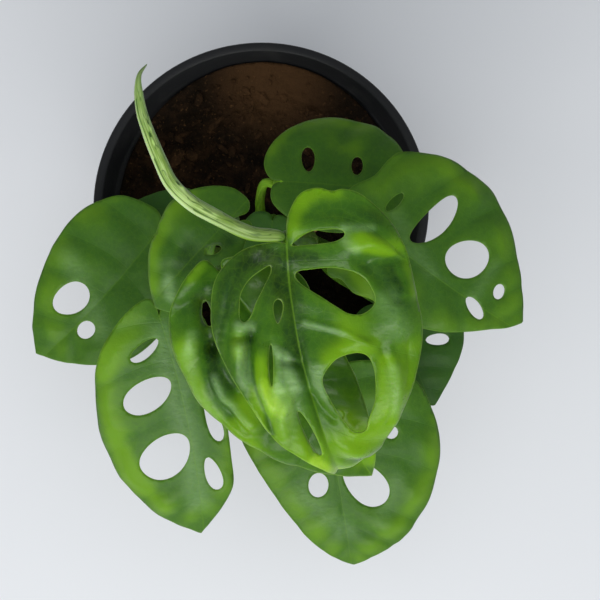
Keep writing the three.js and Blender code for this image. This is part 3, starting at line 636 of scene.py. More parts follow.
        joint=(36, -19, 173), length=61.5, half=28, heading=-40, pitch=-12, turn=16, droop=18,
        fold=(2, 2), cup=(-18, -18), puff=1.6,
        left=[(0, 0), (-5, -1), (-11, 0.5), (-12, 5), (-9, 12), (-8.7, 19), (-7, 24), (1, 30),
              (11, 34), (23, 35), (31, 34), (41, 28.5), (50, 20), (58, 9.5), (61.5, 3)],
        right=[(0, 0), (-4, -2), (-2.8, -8), (-2.8, -14), (-1.8, -18.5), (0.8, -20.4), (4, -18.8),
               (9, -19.5), (14.5, -17.6), (23, -18), (32, -15.5), (41, -11), (51, -4.5), (57, -1),
               (61.5, 3)],
        holes=[(0.8, 6.4, 1.7, 14, 3, 0, 0), (13.5, 4, 18, 24.3, 8.5, 0.1, 1.2),
               (26, 6, 39, 15.5, 12, 0, 0.6), (46, 7.5, 50.5, 7.7, 5, 0, 0),
               (39, 0.4, 47, -2.6, 4.4, 0.1, 0)],
        veins=((-12, -3, 8, 20, 36, 45, 54), (-8, 5, 16, 27, 37, 48, 56)),
        folds=[
            (0.9, 4, (-5, 10.5), (-3, 21), (4, 29), (19, 29.5)), (0.7, 4, (35.5, -11), (47, -4)),
        ],
        light_and_shade_strokes=[
            (0.3, 4, (-6, 9), (-5, 20.5), (2.5, 29.5), (20.5, 30.5)),
            (0.25, 4, (32.5, -12), (44.5, -6.5), (56.5, 3.5)), (0.2, 4, (40.5, 22.5), (54, 9.5)),
            (-0.2, 6, (13.5, 8.5), (33, -0.5)),
            (0.6, 3, (1, -14.5), (3.5, -13.5), (7, -14), (10.5, -15.5), (12.5, -17.5)),
        ],
        painted_sheen=[(0.25, 5, (4, 7.5), (23.5, 0.5)), (0.25, 4, (42.5, 14), (40.5, 0.5))],
    ),
    "back": dict(
        joint=(8, 3, 136), length=46, half=22, heading=-4, pitch=4, droop=20, fold=(2, 2),
        cup=(-30, -30),
        left=[(0, 0), (-4, 1), (-6.3, 6), (-4.5, 12.5), (1, 19.5), (9.5, 24.3), (19, 26.2),
              (29, 25), (37, 20), (43, 11), (46, 0.5)],
        right=[(0, 0), (-3, -2), (-2, -8), (7, -14), (19, -16), (30, -13.5), (39, -8), (46, 0.5)],
        holes=[(9, 3.8, 8, 12.5, 4.5, 0.1, 0), (25, 4, 25.3, 10.6, 4, 0, 0)],
        veins=((-8, 4, 15, 24, 33, 40), (-8, 5, 15, 24, 33, 40)),
        light_and_shade_strokes=[
            (0.4, 4, (18.5, 12.5), (24, 12)), (-0.3, 7, (9.5, 6.5), (29.5, 6.5)),
            (0.3, 3, (-4.5, 11), (1.5, 20), (15, 24.5), (29.5, 23)),
        ],
    ),
    "low_right": dict(
        joint=(46, -38, 113), length=37, half=18, heading=-66, pitch=-4, droop=20,
        fold=(2, 2), cup=(-15, -15), cell=1, puff=1.2, skin="shade",
        left=[(0, 0), (-4, 2), (-2, 8), (3, 17), (11, 21.5), (18, 20.7), (25, 15.5), (32, 7.5),
              (37, 1)],
        right=[(0, 0), (-4, -2), (-5, -9), (0, -17), (8, -22), (19, -19), (29, -11), (37, 1)],
        holes=[(14, 7, 17, 15, 4, 0.1, 0)],
        veins=((-7, 3, 12, 21, 29), (-7, 4, 13, 22, 30)),
        light_and_shade_strokes=[(-0.8, 5, (2, -12), (7, -12.5), (13, -14.5), (18.5, -18.5), (22.5, -22))],
    ),
    "small_left": dict(
        joint=(-23, -3, 110), length=24, half=12, heading=170, pitch=-2, droop=10,
        cup=(-10, -10), cell=1, puff=0.9, skin="shade",
        left=[(0, 0), (-4, 3), (-2, 8), (6, 10), (14, 7), (20, 3.5), (24, 0)],
        right=[(0, 0), (-3, -3), (-1, -7), (5, -9), (12, -7), (19, -3.5), (24, 0)],
        veins=((-4, 3, 9, 15, 20), (-4, 3, 9, 15, 20)),
    ),
    "small_inner": dict(
        joint=(5, -10, 132), length=34, half=12, heading=-95, pitch=-8, droop=10,
        cup=(-10, -10), cell=1, puff=0.9, skin="shade",
        left=[(0, 0), (-1.8, 0.6), (-2.6, 2.4), (-1.6, 5.6), (2, 8), (8, 9), (20, 7.7), (28, 4),
              (34, 0)],
        right=[(0, 0), (-2.2, -0.6), (-3.2, -2.6), (-2.8, -6.2), (0, -9), (4, -10.3), (10, -10),
               (20, -7.5), (28, -4), (34, 0)],
        veins=((-4, 4, 12, 20, 27), (-4, 4, 12, 20, 27)),
    ),
}

# %% [markdown]
# ### Bending
# The midrib starts at the joint, aims where heading and pitch say, and curves on by turn and
# droop. Each half of the blade leaves it at the fold's angle and curls over by the cup's. The
# measured model is bent by the same rule, so both agree to a fraction of a millimetre. All the
# points of a blade are bent at once, as one numpy array, because a loop would be slow.

# %% Bend a flat leaf
RIB_STEP = 0.5  # mm between two stored places on a midrib
RIB_BACK = 24  # mm behind the joint where they start
RIB_AHEAD = 4  # mm past the tip where they end
LEAST_CURL = 1e-6  # stands in for a cup of 0, which can't be divided by


def facing(angle):
    """The level direction that an angle round the Z axis points to."""
    return Vector((math.cos(angle), math.sin(angle), 0))


def midrib_frames(leaf):
    """Rows of station, place, leftward and upward along the midrib."""

    def aim(s):
        along = max(0.0, s) / leaf["length"]
        heading = math.radians(leaf["heading"] + leaf["turn"] * along)
        pitch = math.radians(leaf["pitch"] - leaf["droop"] * along ** leaf["power"])
        ahead = facing(heading) * math.cos(pitch) + Vector((0, 0, math.sin(pitch)))
        leftward = Vector((-math.sin(heading), math.cos(heading), 0))
        return ahead, leftward, ahead.cross(leftward)

    place = Vector(leaf["joint"]) - RIB_BACK * aim(0)[0]
    rows = []
    for i in range(int((RIB_BACK + leaf["length"] + RIB_AHEAD) / RIB_STEP) + 1):
        s = i * RIB_STEP - RIB_BACK
        _, leftward, upward = aim(s)
        rows.append((s, *place, *leftward, *upward))
        place = place + aim(s + RIB_STEP / 2)[0] * RIB_STEP
    return np.array(rows)


def bend(leaf, s, t, height=0.0):
    """Where flat points (s, t) end up, height above the blade's middle."""
    frames = leaf["frames"]
    fit = np.stack([np.interp(s, frames[:, 0], frames[:, i]) for i in range(1, 10)], -1)
    left = np.asarray(t) > 0
    fold = np.radians(np.where(left, *leaf["fold"]))
    curl = np.radians(np.where(left, *leaf["cup"])) / leaf["half"]
    curl = np.where(curl == 0, LEAST_CURL, curl)
    angle = fold + curl * np.abs(t)
    side = np.sign(t)
    out = (np.sin(angle) - np.sin(fold)) / curl - height * np.sin(angle) * np.abs(side)
    up = (np.cos(fold) - np.cos(angle)) / curl + height * np.where(side == 0, 1, np.cos(angle))
    return fit[..., :3] + fit[..., 3:6] * (side * out)[..., None] + fit[..., 6:] * up[..., None]


for leaf in LEAVES.values():
    leaf.update({**USUAL, **leaf})
    leaf["frames"] = midrib_frames(leaf)

# %% [markdown]
# ### The flat mesh
# A grid gives even cells that shade smoothly. Cells that touch the margin or a hole are taken
# away, and the strip left between the grid and the outline is filled with triangles. Where the
# filler also covers a hole, or cells that are there already, those triangles are taken out.
# Cutting the whole leaf out with a boolean would be quicker to write, but it leaves slivers
# that show as dents on a glossy surface.

# %% Outline and holes
HOLE_POINTS = 120
LEAST_POINTS = 8  # even the smallest hole's edge has so many


def even_steps(loop, step):
    """The same closed loop with its points spread evenly, about step apart."""
    closed = loop + [loop[0]]
    count = max(LEAST_POINTS, round(distances(closed)[-1] / step))
    return [place for place, _ in spread(closed, count, count)]


def margin_loop(leaf):
    """The closed outline: up the left margin to the tip and back down the right one."""
    left = even_spline(leaf["left"])
    right = even_spline(leaf["right"])
    return even_steps(left + right[-2:0:-1], leaf["cell"])


def hole_loop(hole, cell):
    """The closed edge of a hole, drawn point by point or as an oval."""
    if isinstance(hole, list):
        line = even_spline([hole[-1], *hole, hole[0], hole[1]])
        return even_steps(line[CURVE_STEPS:CURVE_STEPS * (len(hole) + 1)], cell)
    s1, t1, s2, t2, width, blunt, bow = hole
    middle = Vector(((s1 + s2) / 2, (t1 + t2) / 2))
    axis = Vector(((s2 - s1) / 2, (t2 - t1) / 2))
    across = Vector((-axis.y, axis.x)).normalized()
    points = []
    for i in range(HOLE_POINTS):
        angle = 2 * math.pi * i / HOLE_POINTS
        c = math.cos(angle)
        side = width / 2 * math.sin(angle) * (1 + blunt * c) + bow * (c * c - 0.5)
        points.append(middle + axis * c + across * side)
    return even_steps(points, min(cell, width / 4))


# %% Distances on the flat leaf
FAR_OFF = 1e9  # mm, further than anything on a leaf


def as_rows(line):
    """A flat line's points as the rows of an array."""
    return np.array([tuple(p) for p in line], dtype=float)


def distance_to(lines, spots, closed=True):
    """How far each spot is from the nearest stretch of any line."""
    nearest = np.full(len(spots), FAR_OFF)
    for line in lines:
        points = as_rows(line)
        ends = np.roll(points, -1, axis=0) if closed else points[1:]
        for start, end in zip(points, ends):
            run = end - start
            share = np.clip(((spots - start) @ run) / max(run @ run, TINY), 0, 1)
            gap = np.linalg.norm(spots - start - share[:, None] * run, axis=1)
            nearest = np.minimum(nearest, gap)
    return nearest


def inside(loops, spots):
    """True for the spots inside the outline and in no hole."""
    odd = np.zeros(len(spots), bool)
    for loop in loops:
        points = as_rows(loop)
        for a, b in zip(points, np.roll(points, -1, axis=0)):
            if a[1] != b[1]:
                crosses = (a[1] > spots[:, 1]) != (b[1] > spots[:, 1])
                where = a[0] + (spots[:, 1] - a[1]) * (b[0] - a[0]) / (b[1] - a[1])
                odd ^= crosses & (spots[:, 0] < where)
    return odd


# %% Fill the outline with even cells
STRIP = 0.6  # room between grid and outline, in cells
RIB_SNAP = 0.02  # mm, points so near to the midrib count as on it


def cell_of(face, corner, cell):
    """The row and column of the grid that a face's middle lies in."""
    place = (face.calc_center_median() - corner) / cell
    return math.floor(place.x), math.floor(place.y)


def flat_blade(leaf):
    """The unbent blade as one layer of faces, and the loops of its outline and holes."""
    cell = leaf["cell"]
    loops = [margin_loop(leaf)] + [hole_loop(hole, cell) for hole in leaf["holes"]]
    xs = [p.x for p in loops[0]]
    rows = 2 * math.ceil(max(abs(p.y) for p in loops[0]) / cell)
    columns = math.ceil((max(xs) - min(xs)) / cell)
    bm = bmesh.new()
    bmesh.ops.create_grid(bm, x_segments=columns, y_segments=rows, size=0.5)
    bmesh.ops.scale(bm, vec=(columns * cell, rows * cell, 1), verts=bm.verts)
    bmesh.ops.translate(bm, vec=((max(xs) + min(xs)) / 2, 0, 0), verts=bm.verts)
    spots = np.array([v.co.xy for v in bm.verts])
    keep = inside(loops, spots) & (distance_to(loops, spots) > STRIP * cell)
    outside = [v for v, kept in zip(bm.verts, keep) if not kept]
    bmesh.ops.delete(bm, geom=outside, context="VERTS")
    loose = [v for v in bm.verts if not v.link_faces]
    bmesh.ops.delete(bm, geom=loose, context="VERTS")
    corner = Vector((min(v.co.x for v in bm.verts), min(v.co.y for v in bm.verts), 0))
    kept_cells = {cell_of(f, corner, cell) for f in bm.faces}
    border = [e for e in bm.edges if e.is_boundary]
    for loop in loops:
        ring = [bm.verts.new((p.x, p.y, 0)) for p in loop]
        border += [bm.edges.new(pair) for pair in zip(ring, ring[1:] + ring[:1])]
    filled = bmesh.ops.triangle_fill(bm, use_beauty=True, edges=border)["geom"]
    filled = [f for f in filled if isinstance(f, bmesh.types.BMFace)]
    middles = np.array([f.calc_center_median().xy for f in filled])
    good = inside(loops, middles)
    taken = [cell_of(f, corner, cell) in kept_cells for f in filled]
    stray = [f for f, fits, double in zip(filled, good, taken) if double or not fits]
    bmesh.ops.delete(bm, geom=stray, context="FACES")
    for face in bm.faces:
        if face.normal.z < 0:
            face.normal_flip()
    everything = bm.verts[:] + bm.edges[:] + bm.faces[:]
    midrib = {"plane_co": (0, 0, 0), "plane_no": (0, 1, 0)}
    bmesh.ops.bisect_plane(bm, geom=everything, dist=RIB_SNAP, **midrib)
    return bm, loops


# %% [markdown]
# ### Quilting
# Side veins leave the midrib at chosen stations and sweep towards the tip. Between two of them
# the blade is puffed up like a quilt, more in the middle than at the margin, and the margin
# itself waves a little. A leaf's table may add folds: single ridges and creases that its
# neighbours or the bud once pressed into it. A vein is a quadratic in the distance from the
# midrib, so a point's count of veins is found by comparing it with two of them.

# %% Veins
SWEEP_AT_JOINT = -0.35  # mm towards the tip for each mm outwards, at the joint
SWEEP_GAIN = 1.3  # how much more of it a vein at the tip has
SWEEP_CURVE = 0.012  # and how fast a vein turns on towards the tip
LEAST_GAP = 2.0  # mm between two veins, at the least


def vein_count(leaf, half, s, reach):
    """The count of veins at each point, and the distance between its two veins."""
    lines = []
    for vein in leaf["veins"][half]:
        if not isinstance(vein, tuple):
            vein = (vein, SWEEP_AT_JOINT + SWEEP_GAIN * vein / leaf["length"], SWEEP_CURVE)
        lines.append(vein[0] + vein[1] * reach + vein[2] * reach ** 2)
    lines = np.array(lines)
    k = np.clip((lines <= s).sum(axis=0) - 1, 0, len(lines) - 2)
    index = np.arange(len(s))
    gap = np.maximum(lines[k + 1, index] - lines[k, index], LEAST_GAP)
    return k + (s - lines[k, index]) / gap, gap


# %% Folds and relief
def feature(table, spots):
    """Adds up ridges: each row has a height, a width and its line; width < 0 is a sharp one."""
    total = np.zeros(len(spots))
    for height, width, *line in table:
        away = distance_to([line], spots, closed=False) / abs(width)
        total += height * np.exp(-away if width < 0 else -(away ** 2))
    return total


MARGIN_CALM = 7  # mm from the margin inwards, where the quilting is lower
MARGIN_SHARE = 0.25  # the share of it that is left at the margin itself
RIB_CALM = 4  # mm, how fast it rises beside the midrib
FULL_GAP = 15  # mm between two veins that have full quilting
RIB_HALF = 0.9  # mm, half the width of the midrib's groove
WIDE_WAVE = 17  # mm, the size of the blade's broad waves
LONG_WAVE = 8  # mm, and of those that run along the veins
TINY_WAVE = 2.6  # mm, and of its small dents
VEIN_WAVE = 2.6  # long waves from vein to vein
WAVE_CALM = 5  # mm, how fast they all rise beside the midrib


def waves(leaf, s, t, count):
    """Noise of three sizes."""
    seed = leaf["joint"][0] * 3.1
    lifts = []
    for x, y, c in zip(s, t, count):
        wide = noise.noise(Vector((x / WIDE_WAVE, y / WIDE_WAVE, seed)))
        long = noise.noise(Vector((c * VEIN_WAVE, y / LONG_WAVE, seed + 9)))
        tiny = noise.noise(Vector((x / TINY_WAVE, y / TINY_WAVE, seed + 3)))
        lifts.append(wide * 0.7 + long * 0.42 + tiny * 0.07)
    return np.array(lifts) * (1 - np.exp(-np.abs(t) / WAVE_CALM))


def relief(leaf, spots, edge):
    """The height of the blade's surface at each point, and how full its quilting is."""
    s, t = spots.T
    reach = np.abs(t)
    counts = [vein_count(leaf, half, s, reach) for half in (0, 1)]
    count, gap = (np.where(t > 0, *pair) for pair in zip(*counts))
    crown = np.abs(np.sin(np.pi * count)) ** leaf["crease"]
    calm = MARGIN_SHARE + (1 - MARGIN_SHARE) * np.clip(edge / MARGIN_CALM, 0, 1)
    crown *= (1 - np.exp(-reach / RIB_CALM)) * calm
    height = leaf["puff"] * crown * np.clip(gap / FULL_GAP, 0.3, 1.2)
    height -= leaf["rib"] * np.exp(-((reach / RIB_HALF) ** 2))
    height += feature(leaf["folds"], spots)
    height += waves(leaf, s, t, count)
    return height, crown, counts


# %% Build one blade
BLADE_THICKNESS = 0.42  # mm


def blade(name, leaf):
    """Makes a leaf's blade: flat first, then with its relief, then bent."""
    bm, loops = flat_blade(leaf)
    spots = np.array([v.co.xy for v in bm.verts])
    edge = distance_to(loops, spots)
    height, crown, counts = relief(leaf, spots, edge)
    # strokes of painted light and painted shade, partly the leaf's own yellower patches, and of
    # painted sheen
    fresh_and_lit = feature(leaf["light_and_shade_strokes"], spots)
    painted_sheen = feature(leaf["painted_sheen"], spots)
    places = bend(leaf, spots[:, 0], spots[:, 1], height)
    flat = bm.loops.layers.uv.new("flat")
    quilt = bm.loops.layers.uv.new("quilt")
    bm.verts.index_update()
    for face in bm.faces:
        half = 0 if face.calc_center_median().y > 0 else 1
        for corner in face.loops:
            i = corner.vert.index
            corner[flat].uv = spots[i] / FLAT_UNIT
            corner[quilt].uv = (counts[half][0][i], counts[half][1][i] / FLAT_UNIT)
    values = {"edge": edge, "crown": crown, "fresh_and_lit": fresh_and_lit, "painted_sheen": painted_sheen}
    layers = {key: bm.verts.layers.float.new(key) for key in values}
    for i, vert in enumerate(bm.verts):
        vert.co = places[i]
        for key, layer in layers.items():
            vert[layer] = values[key][i]
    cells = len(bm.faces)
    skins = [BLADE_TOPS[leaf["skin"]], blade_under]
    made = piece(name + "_blade", bm, skins, name + "_leaf", "blade")
    shell = made.modifiers.new("thickness", "SOLIDIFY")
    shell.thickness = BLADE_THICKNESS * MM
    shell.offset = 0
    shell.use_rim = True
    shell.material_offset = 1
    shell.material_offset_rim = 0
    print(name, "blade:", cells, "cells,", len(leaf["holes"]), "holes")


for name, leaf in LEAVES.items():
    blade(name, leaf)

# %% [markdown]
# ## Stalks
# Stems, petioles, roots and the rolled leaf are all round bodies that follow a curve. One tool
# makes them: it lays a ring of points across the start of the curve and extrudes it from place
# to place, setting the radius as it goes. A curve object with a bevel could do this too, but it
# can't carry the sheath's flat wings or the seam of the rolled leaf.


# %% Grow a body along a curve
def next_ring(bm, ring):
    """Extrudes a ring of points; the new ones come in the same order."""
    edges = [bm.edges.get(pair) for pair in zip(ring, ring[1:] + ring[:1])]
    grown = bmesh.ops.extrude_edge_only(bm, edges=edges)["geom"]
    new = {v for v in grown if isinstance(v, bmesh.types.BMVert)}
    return [next(e.other_vert(v) for e in v.link_edges if e.other_vert(v) in new) for v in ring]


def stalk(line, count, sides, reach, painted_shading_of=None):
    """reach(along, angle, distance) gives the radius; along runs from 0 to 1.

    marks(angle, distance) may give each point a value that the skin reads as "mark".
    """
    steps = walk(line, count)
    bm = bmesh.new()
    wrap = bm.loops.layers.uv.new("wrap")
    painted_shading = bm.verts.layers.float.new("painted_shading")
    side = steps[0][1].orthogonal().normalized()
    rings = [list(bmesh.ops.create_circle(bm, segments=sides, radius=1)["verts"])]
    for i, (place, ahead, distance) in enumerate(steps):
        side = (side - ahead * side.dot(ahead)).normalized()
        other = ahead.cross(side)
        if i:
            rings.append(next_ring(bm, rings[-1]))
        for k, vert in enumerate(rings[-1]):
            angle = 2 * math.pi * k / sides
            radius = reach(i / (count - 1), angle, distance)
            vert.co = place + (side * math.cos(angle) + other * math.sin(angle)) * radius
            if painted_shading_of:
                vert[painted_shading] = painted_shading_of(angle, distance)
    bmesh.ops.contextual_create(bm, geom=rings[0])
    bmesh.ops.contextual_create(bm, geom=rings[-1])
    number = {v: (k / sides, i) for i, ring in enumerate(rings) for k, v in enumerate(ring)}
    for face in bm.faces:
        around = [number[v][0] for v in face.verts]
        for corner in face.loops:
            turn, i = number[corner.vert]
            if max(around) - min(around) > 0.5 and turn < 0.5:
                turn += 1
            corner[wrap].uv = (turn, steps[i][2] / FLAT_UNIT)
    bmesh.ops.recalc_face_normals(bm, faces=bm.faces)
    return bm


# %% [markdown]
# Petioles are the leaf stalks. A petiole clasps its stem with a flat sheath, runs up thin, and
# swells again into the joint that lets the leaf turn to the light. Streaks run along it.


# %% Stalk materials
STALK_SOFT = (0.2, (0.5, 1.0, 0.15), 0.0015)


def stalk_skin(name, dark, light, gloss):
    recipe = Recipe(name)
    streaks = recipe.streaks(recipe.flat("wrap"), (7, 6), 1 / 3, 4, 0.6)
    where = recipe.place()
    patches = recipe.cloud(where, 0.012, 2)
    specks = recipe.step(recipe.cloud(where, 0.0011, 2, 0.5), 0.66, 0.74)
    colour = recipe.layers(
        dark,
        (recipe.step(streaks * 0.7 + patches * 0.3, 0.35, 0.65), light),
        (specks * 0.35, tint(176, 186, 120)),
    )
    rough = gloss + streaks * 0.16
    return recipe.finish(colour, rough, 0.12, streaks + specks * 0.3, (0.5, 0.0003), STALK_SOFT)


petiole_skin = stalk_skin("petiole_skin", tint(46, 80, 14), tint(82, 124, 26), 0.4)
# painted light: a lighter, more vivid copy of the petiole skin, for the back petiole
lit_petiole_skin = stalk_skin("lit_petiole_skin", tint(88, 136, 22), tint(132, 180, 48), 0.4)
stem_skin = stalk_skin("stem_skin", tint(56, 82, 26), tint(92, 118, 44), 0.42)
root_skin = stalk_skin("root_skin", tint(84, 62, 40), tint(132, 104, 70), 0.7)

# %% The stems' and petioles' measures
STEM_RADIUS = 2.8  # mm
STEM_TAPER = 0.2  # the share of the radius that is lost by a stem's end
STEM_FOOT = 77  # a stem's lowest point, in its socket in the soil
STEM_PLACES = 201  # places at which a stem can be measured
STEMS = {
    "centre": [(14, -6, STEM_FOOT), (15, -8, 100), (17, -14, 125), (18, -20, 148)],
    "left": [(-12, -16, STEM_FOOT), (-13, -17, 100), (-15, -20, 125), (-15, -24, 145)],
    "short": [(-3, -12, STEM_FOOT), (-3, -12, 92), (-2, -13, 107)],
    "front": [(14, -28, STEM_FOOT), (14, -29, 92), (15, -31, 106)],
}
TIP = 1000  # a height above every stem: the stalk goes on from its end
PETIOLES = {
    "top": ("centre", TIP, 0, [(16, -26, 182), (14.3, -32.3, 216)]),
    "second": ("centre", 140, 200, [(7.5, -26, 165), (-1, -34, 200)]),
    "right": ("centre", 124, -30, [(28, -20.5, 143)]),
    "upper_left": ("left", TIP, 0, [(-13.5, -24.5, 165), (-9, -22.5, 187)]),
    "lower_left": ("left", 132, 235, [(-23, -33, 150)]),
    "left": ("left", 108, 180, [(-26, -17, 117)]),
    "back": ("short", 103, 100, [(0.1, -3.1, 111), (0.4, 0.2, 119), (2.6, 4.3, 128)]),
    "small_left": ("short", 98, 165, [(-15, -6, 104)]),
    "small_inner": ("short", 105, 20, [(4, -8, 116)]),
    "front": ("front", TIP, 0, [(17, -37, 117), (20, -52, 129)]),
    "low_right": ("centre", 99, -50, [(24.5, -23.5, 109.5), (37, -32, 112)]),
}
ROOTS = {
    "centre_root": ("centre", 113, 30, [(23, -6, 108), (25, -3, 99)]),
    "left_root": ("left", 118, 150, [(-20, -14, 113), (-21, -12, 103)]),
}


def stem_at(stem, height):
    """A stem's place, direction and radius at a height, or at its end if it is lower."""
    steps = walk(stalk_spline(STEMS[stem]), STEM_PLACES)
    for i, (place, ahead, _) in enumerate(steps):
        if place.z >= height:
            break
    return place, ahead, STEM_RADIUS * (1 - STEM_TAPER * i / (STEM_PLACES - 1))


# %% Stems with their nodes
NODE_SWELL = 0.16  # how much wider a stem is at a node
NODE_REACH = 2.2  # mm, half the length of the swelling
NODE_GAP = 13  # mm from a stem's first node down to one that lost its leaf
STEM_GROOVE = 0.03  # the depth of its three grooves, as a share of the radius
STEM_ENDS = [(0, 0.85), (0.03, 1), (0.985, 1), (1, 0.8)]
STEM_RINGS = 60
STEM_SIDES = 24


def grow_stem(stem):
    line = stalk_spline(STEMS[stem])
    nodes = [height for owner, height, *_ in PETIOLES.values() if owner == stem and height < TIP]
    nodes += [nodes[0] - NODE_GAP] if nodes else []
    bottom = STEMS[stem][0][2]
    top = STEMS[stem][-1][2]

    def reach(along, angle, distance):
        height = bottom + (top - bottom) * along
        swell = sum(bump_at(height - node, NODE_REACH) for node in nodes)
        groove = STEM_GROOVE * math.cos(3 * angle)
        taper = STEM_RADIUS * (1 - STEM_TAPER * along)
        return taper * (1 + NODE_SWELL * swell + groove) * level(STEM_ENDS, along)

    bm = stalk(line, STEM_RINGS, STEM_SIDES, reach)
    piece(stem + "_stem_piece", bm, [stem_skin], stem + "_stem", "stem")


for stem in STEMS:
    grow_stem(stem)

# %% Petioles with sheath and joint
PETIOLE_RADIUS = 1.3  # mm
PETIOLE_SHAPE = [(0, 1.3), (0.12, 1.08), (0.5, 0.92), (0.85, 0.88), (1, 0.95)]
PETIOLE_END = [(0, 0.45), (1.2, 0.9), (2.4, 1)]  # by the distance from its end
PETIOLE_STEP = 1.1  # mm from ring to ring
PETIOLE_RINGS = 24  # and the least number of rings
PETIOLE_SIDES = 20
STOUT = {"back": 1.35}  # petioles with a broad sheath, and how much wider they are
SHEATH_SHARE = 0.34  # the share of a petiole that its sheath clasps
SHEATH_WING = 0.95  # mm that each wing stands out
CHANNEL = 0.1  # mm, the depth of the channel along a petiole's top
JOINT_LENGTH = 8  # mm of the swelling below the blade
JOINT_SWELL = 0.24
JOINT_PATH = [(-1.6, -6.5), (-0.9, -2.2), (1.6, -0.75)]  # up to the blade: s and height


def petiole_line(name):
    leaf = LEAVES[name]
    stem, height, azimuth, via = PETIOLES[name]
    place, ahead, radius = stem_at(stem, height)
    if height == TIP:
        start = [place - ahead * 0.6, place + ahead * 4]
    else:
        out = facing(math.radians(azimuth))
        start = [place + out * (radius * 0.6), place + out * (radius + 2.8) + Vector((0, 0, 2.6))]
    end = [Vector(bend(leaf, s, 0, height)) for s, height in JOINT_PATH]
    return stalk_spline(start + via + end)


def grow_petiole(name):
    line = petiole_line(name)
    length = distances(line)[-1]

    def reach(along, angle, distance):
        left = length - distance
        radius = PETIOLE_RADIUS * level(PETIOLE_SHAPE, along)
        radius *= STOUT.get(name, 1)
        radius *= 1 + JOINT_SWELL * bump_at(left - JOINT_LENGTH * 0.55, JOINT_LENGTH * 0.45)
        radius *= level(PETIOLE_END, left)
        wing = max(0.0, 1 - along / SHEATH_SHARE) ** 0.6 * SHEATH_WING
        flank = abs(math.sin(angle)) ** 14
        return radius + wing * flank - CHANNEL * max(0.0, math.cos(angle)) ** 6

    rings = max(PETIOLE_RINGS, int(length / PETIOLE_STEP))
    bm = stalk(line, rings, PETIOLE_SIDES, reach)
    # the stout back petiole gets the copy with painted light
    skin = lit_petiole_skin if name in STOUT else petiole_skin
    piece(name + "_stalk", bm, [skin], name + "_petiole", "petiole")


for name in PETIOLES:
    grow_petiole(name)

# %% Aerial roots
ROOT_RADIUS = 0.9  # mm
ROOT_SHAPE = [(0, 1.3), (0.15, 1), (0.7, 0.85), (0.93, 0.6), (1, 0.12)]
ROOT_RINGS = 30
ROOT_SIDES = 14


def grow_root(name):
    stem, height, azimuth, via = ROOTS[name]
    place, _, radius = stem_at(stem, height)
    out = facing(math.radians(azimuth))
    line = stalk_spline([place + out * (radius * 0.7), place + out * (radius + 3)] + via)

    def reach(along, angle, distance):
        bumps = 1 + 0.12 * noise.noise(Vector((distance / 1.6, angle, 4)))
        return ROOT_RADIUS * bumps * level(ROOT_SHAPE, along)

    bm = stalk(line, ROOT_RINGS, ROOT_SIDES, reach)
    piece(name + "_piece", bm, [root_skin], name, "root")


for name in ROOTS:
    grow_root(name)

# %% [markdown]
# ## The rolled leaf
# The newest leaf is still rolled up into a pale spear. A rolled sheet shows where it ends: one
# edge lies on the turn below as a long seam. So the spear's ring isn't a circle but one turn of
# a spiral, whose step is the seam. A pale band of painted light lies beside the seam, on the
# spear's lit side, the seam's step gets painted shade, and small blisters show where the holes of
# the leaf are forming inside, each with a painted dark side towards the tip and a painted light
# side towards the base.

# %% Rolled leaf's measures
ROLL_LINE = [
    (10.4, -38, 251.7), (9.3, -37.4, 252.1), (2, -37, 254.5), (-6, -33.5, 256), (-13, -29.5, 257),
    (-17.5, -25, 258), (-20, -20, 259.5), (-22.5, -14, 261), (-24.5, -8, 262.5), (-25, 0, 264.5),
    (-23, 2.5, 266),
]
ROLL_LENGTH = 63  # mm along that line
ROLL_RADIUS = 1.75  # mm
ROLL_RINGS = 150
ROLL_SIDES = 60
ROLL_STEP = 0.26  # the seam's height as a share of the radius
ROLL_WIDTHS = [(0, 0.3), (0.012, 0.68), (0.03, 0.82), (0.07, 0.95), (0.2, 1.02), (0.35, 1.1),
               (0.6, 0.98), (0.78, 0.8), (0.88, 0.62), (0.94, 0.34), (0.975, 0.2), (1, 0.06)]
SEAM_TURN = 0.26  # where round the spear the seam starts, in turns
SEAM_DRIFT = 0.07  # and how far it winds back by the tip
BLISTERS = [  # distance from the base, turn, height as a share, length
    (10, 0.38, 0.16, 2.2), (19.4, 0.377, 0.12, 1.5), (29.5, 0.47, 0.2, 1.1), (33, 0.33, 0.14, 1.8),
    (43.4, 0.36, 0.24, 1.2), (46.5, 0.43, 0.16, 1.0),
]
BLISTER_WIDTH = 0.035  # turns


def blister(angle, distance, behind=0.0):
    """How much a blister stands out here; behind moves it towards the tip, in mm."""
    turn = angle / (2 * math.pi)
    total = 0.0
    for place, around, height, length in BLISTERS:
        away = ((distance - place - behind) / length) ** 2 + ((turn - around) / BLISTER_WIDTH) ** 2
        total += height * math.exp(-away)
    return total


# %% Rolled leaf's skin
ROLL_SOFT = (0.25, (0.5, 1.0, 0.15), 0.0012)


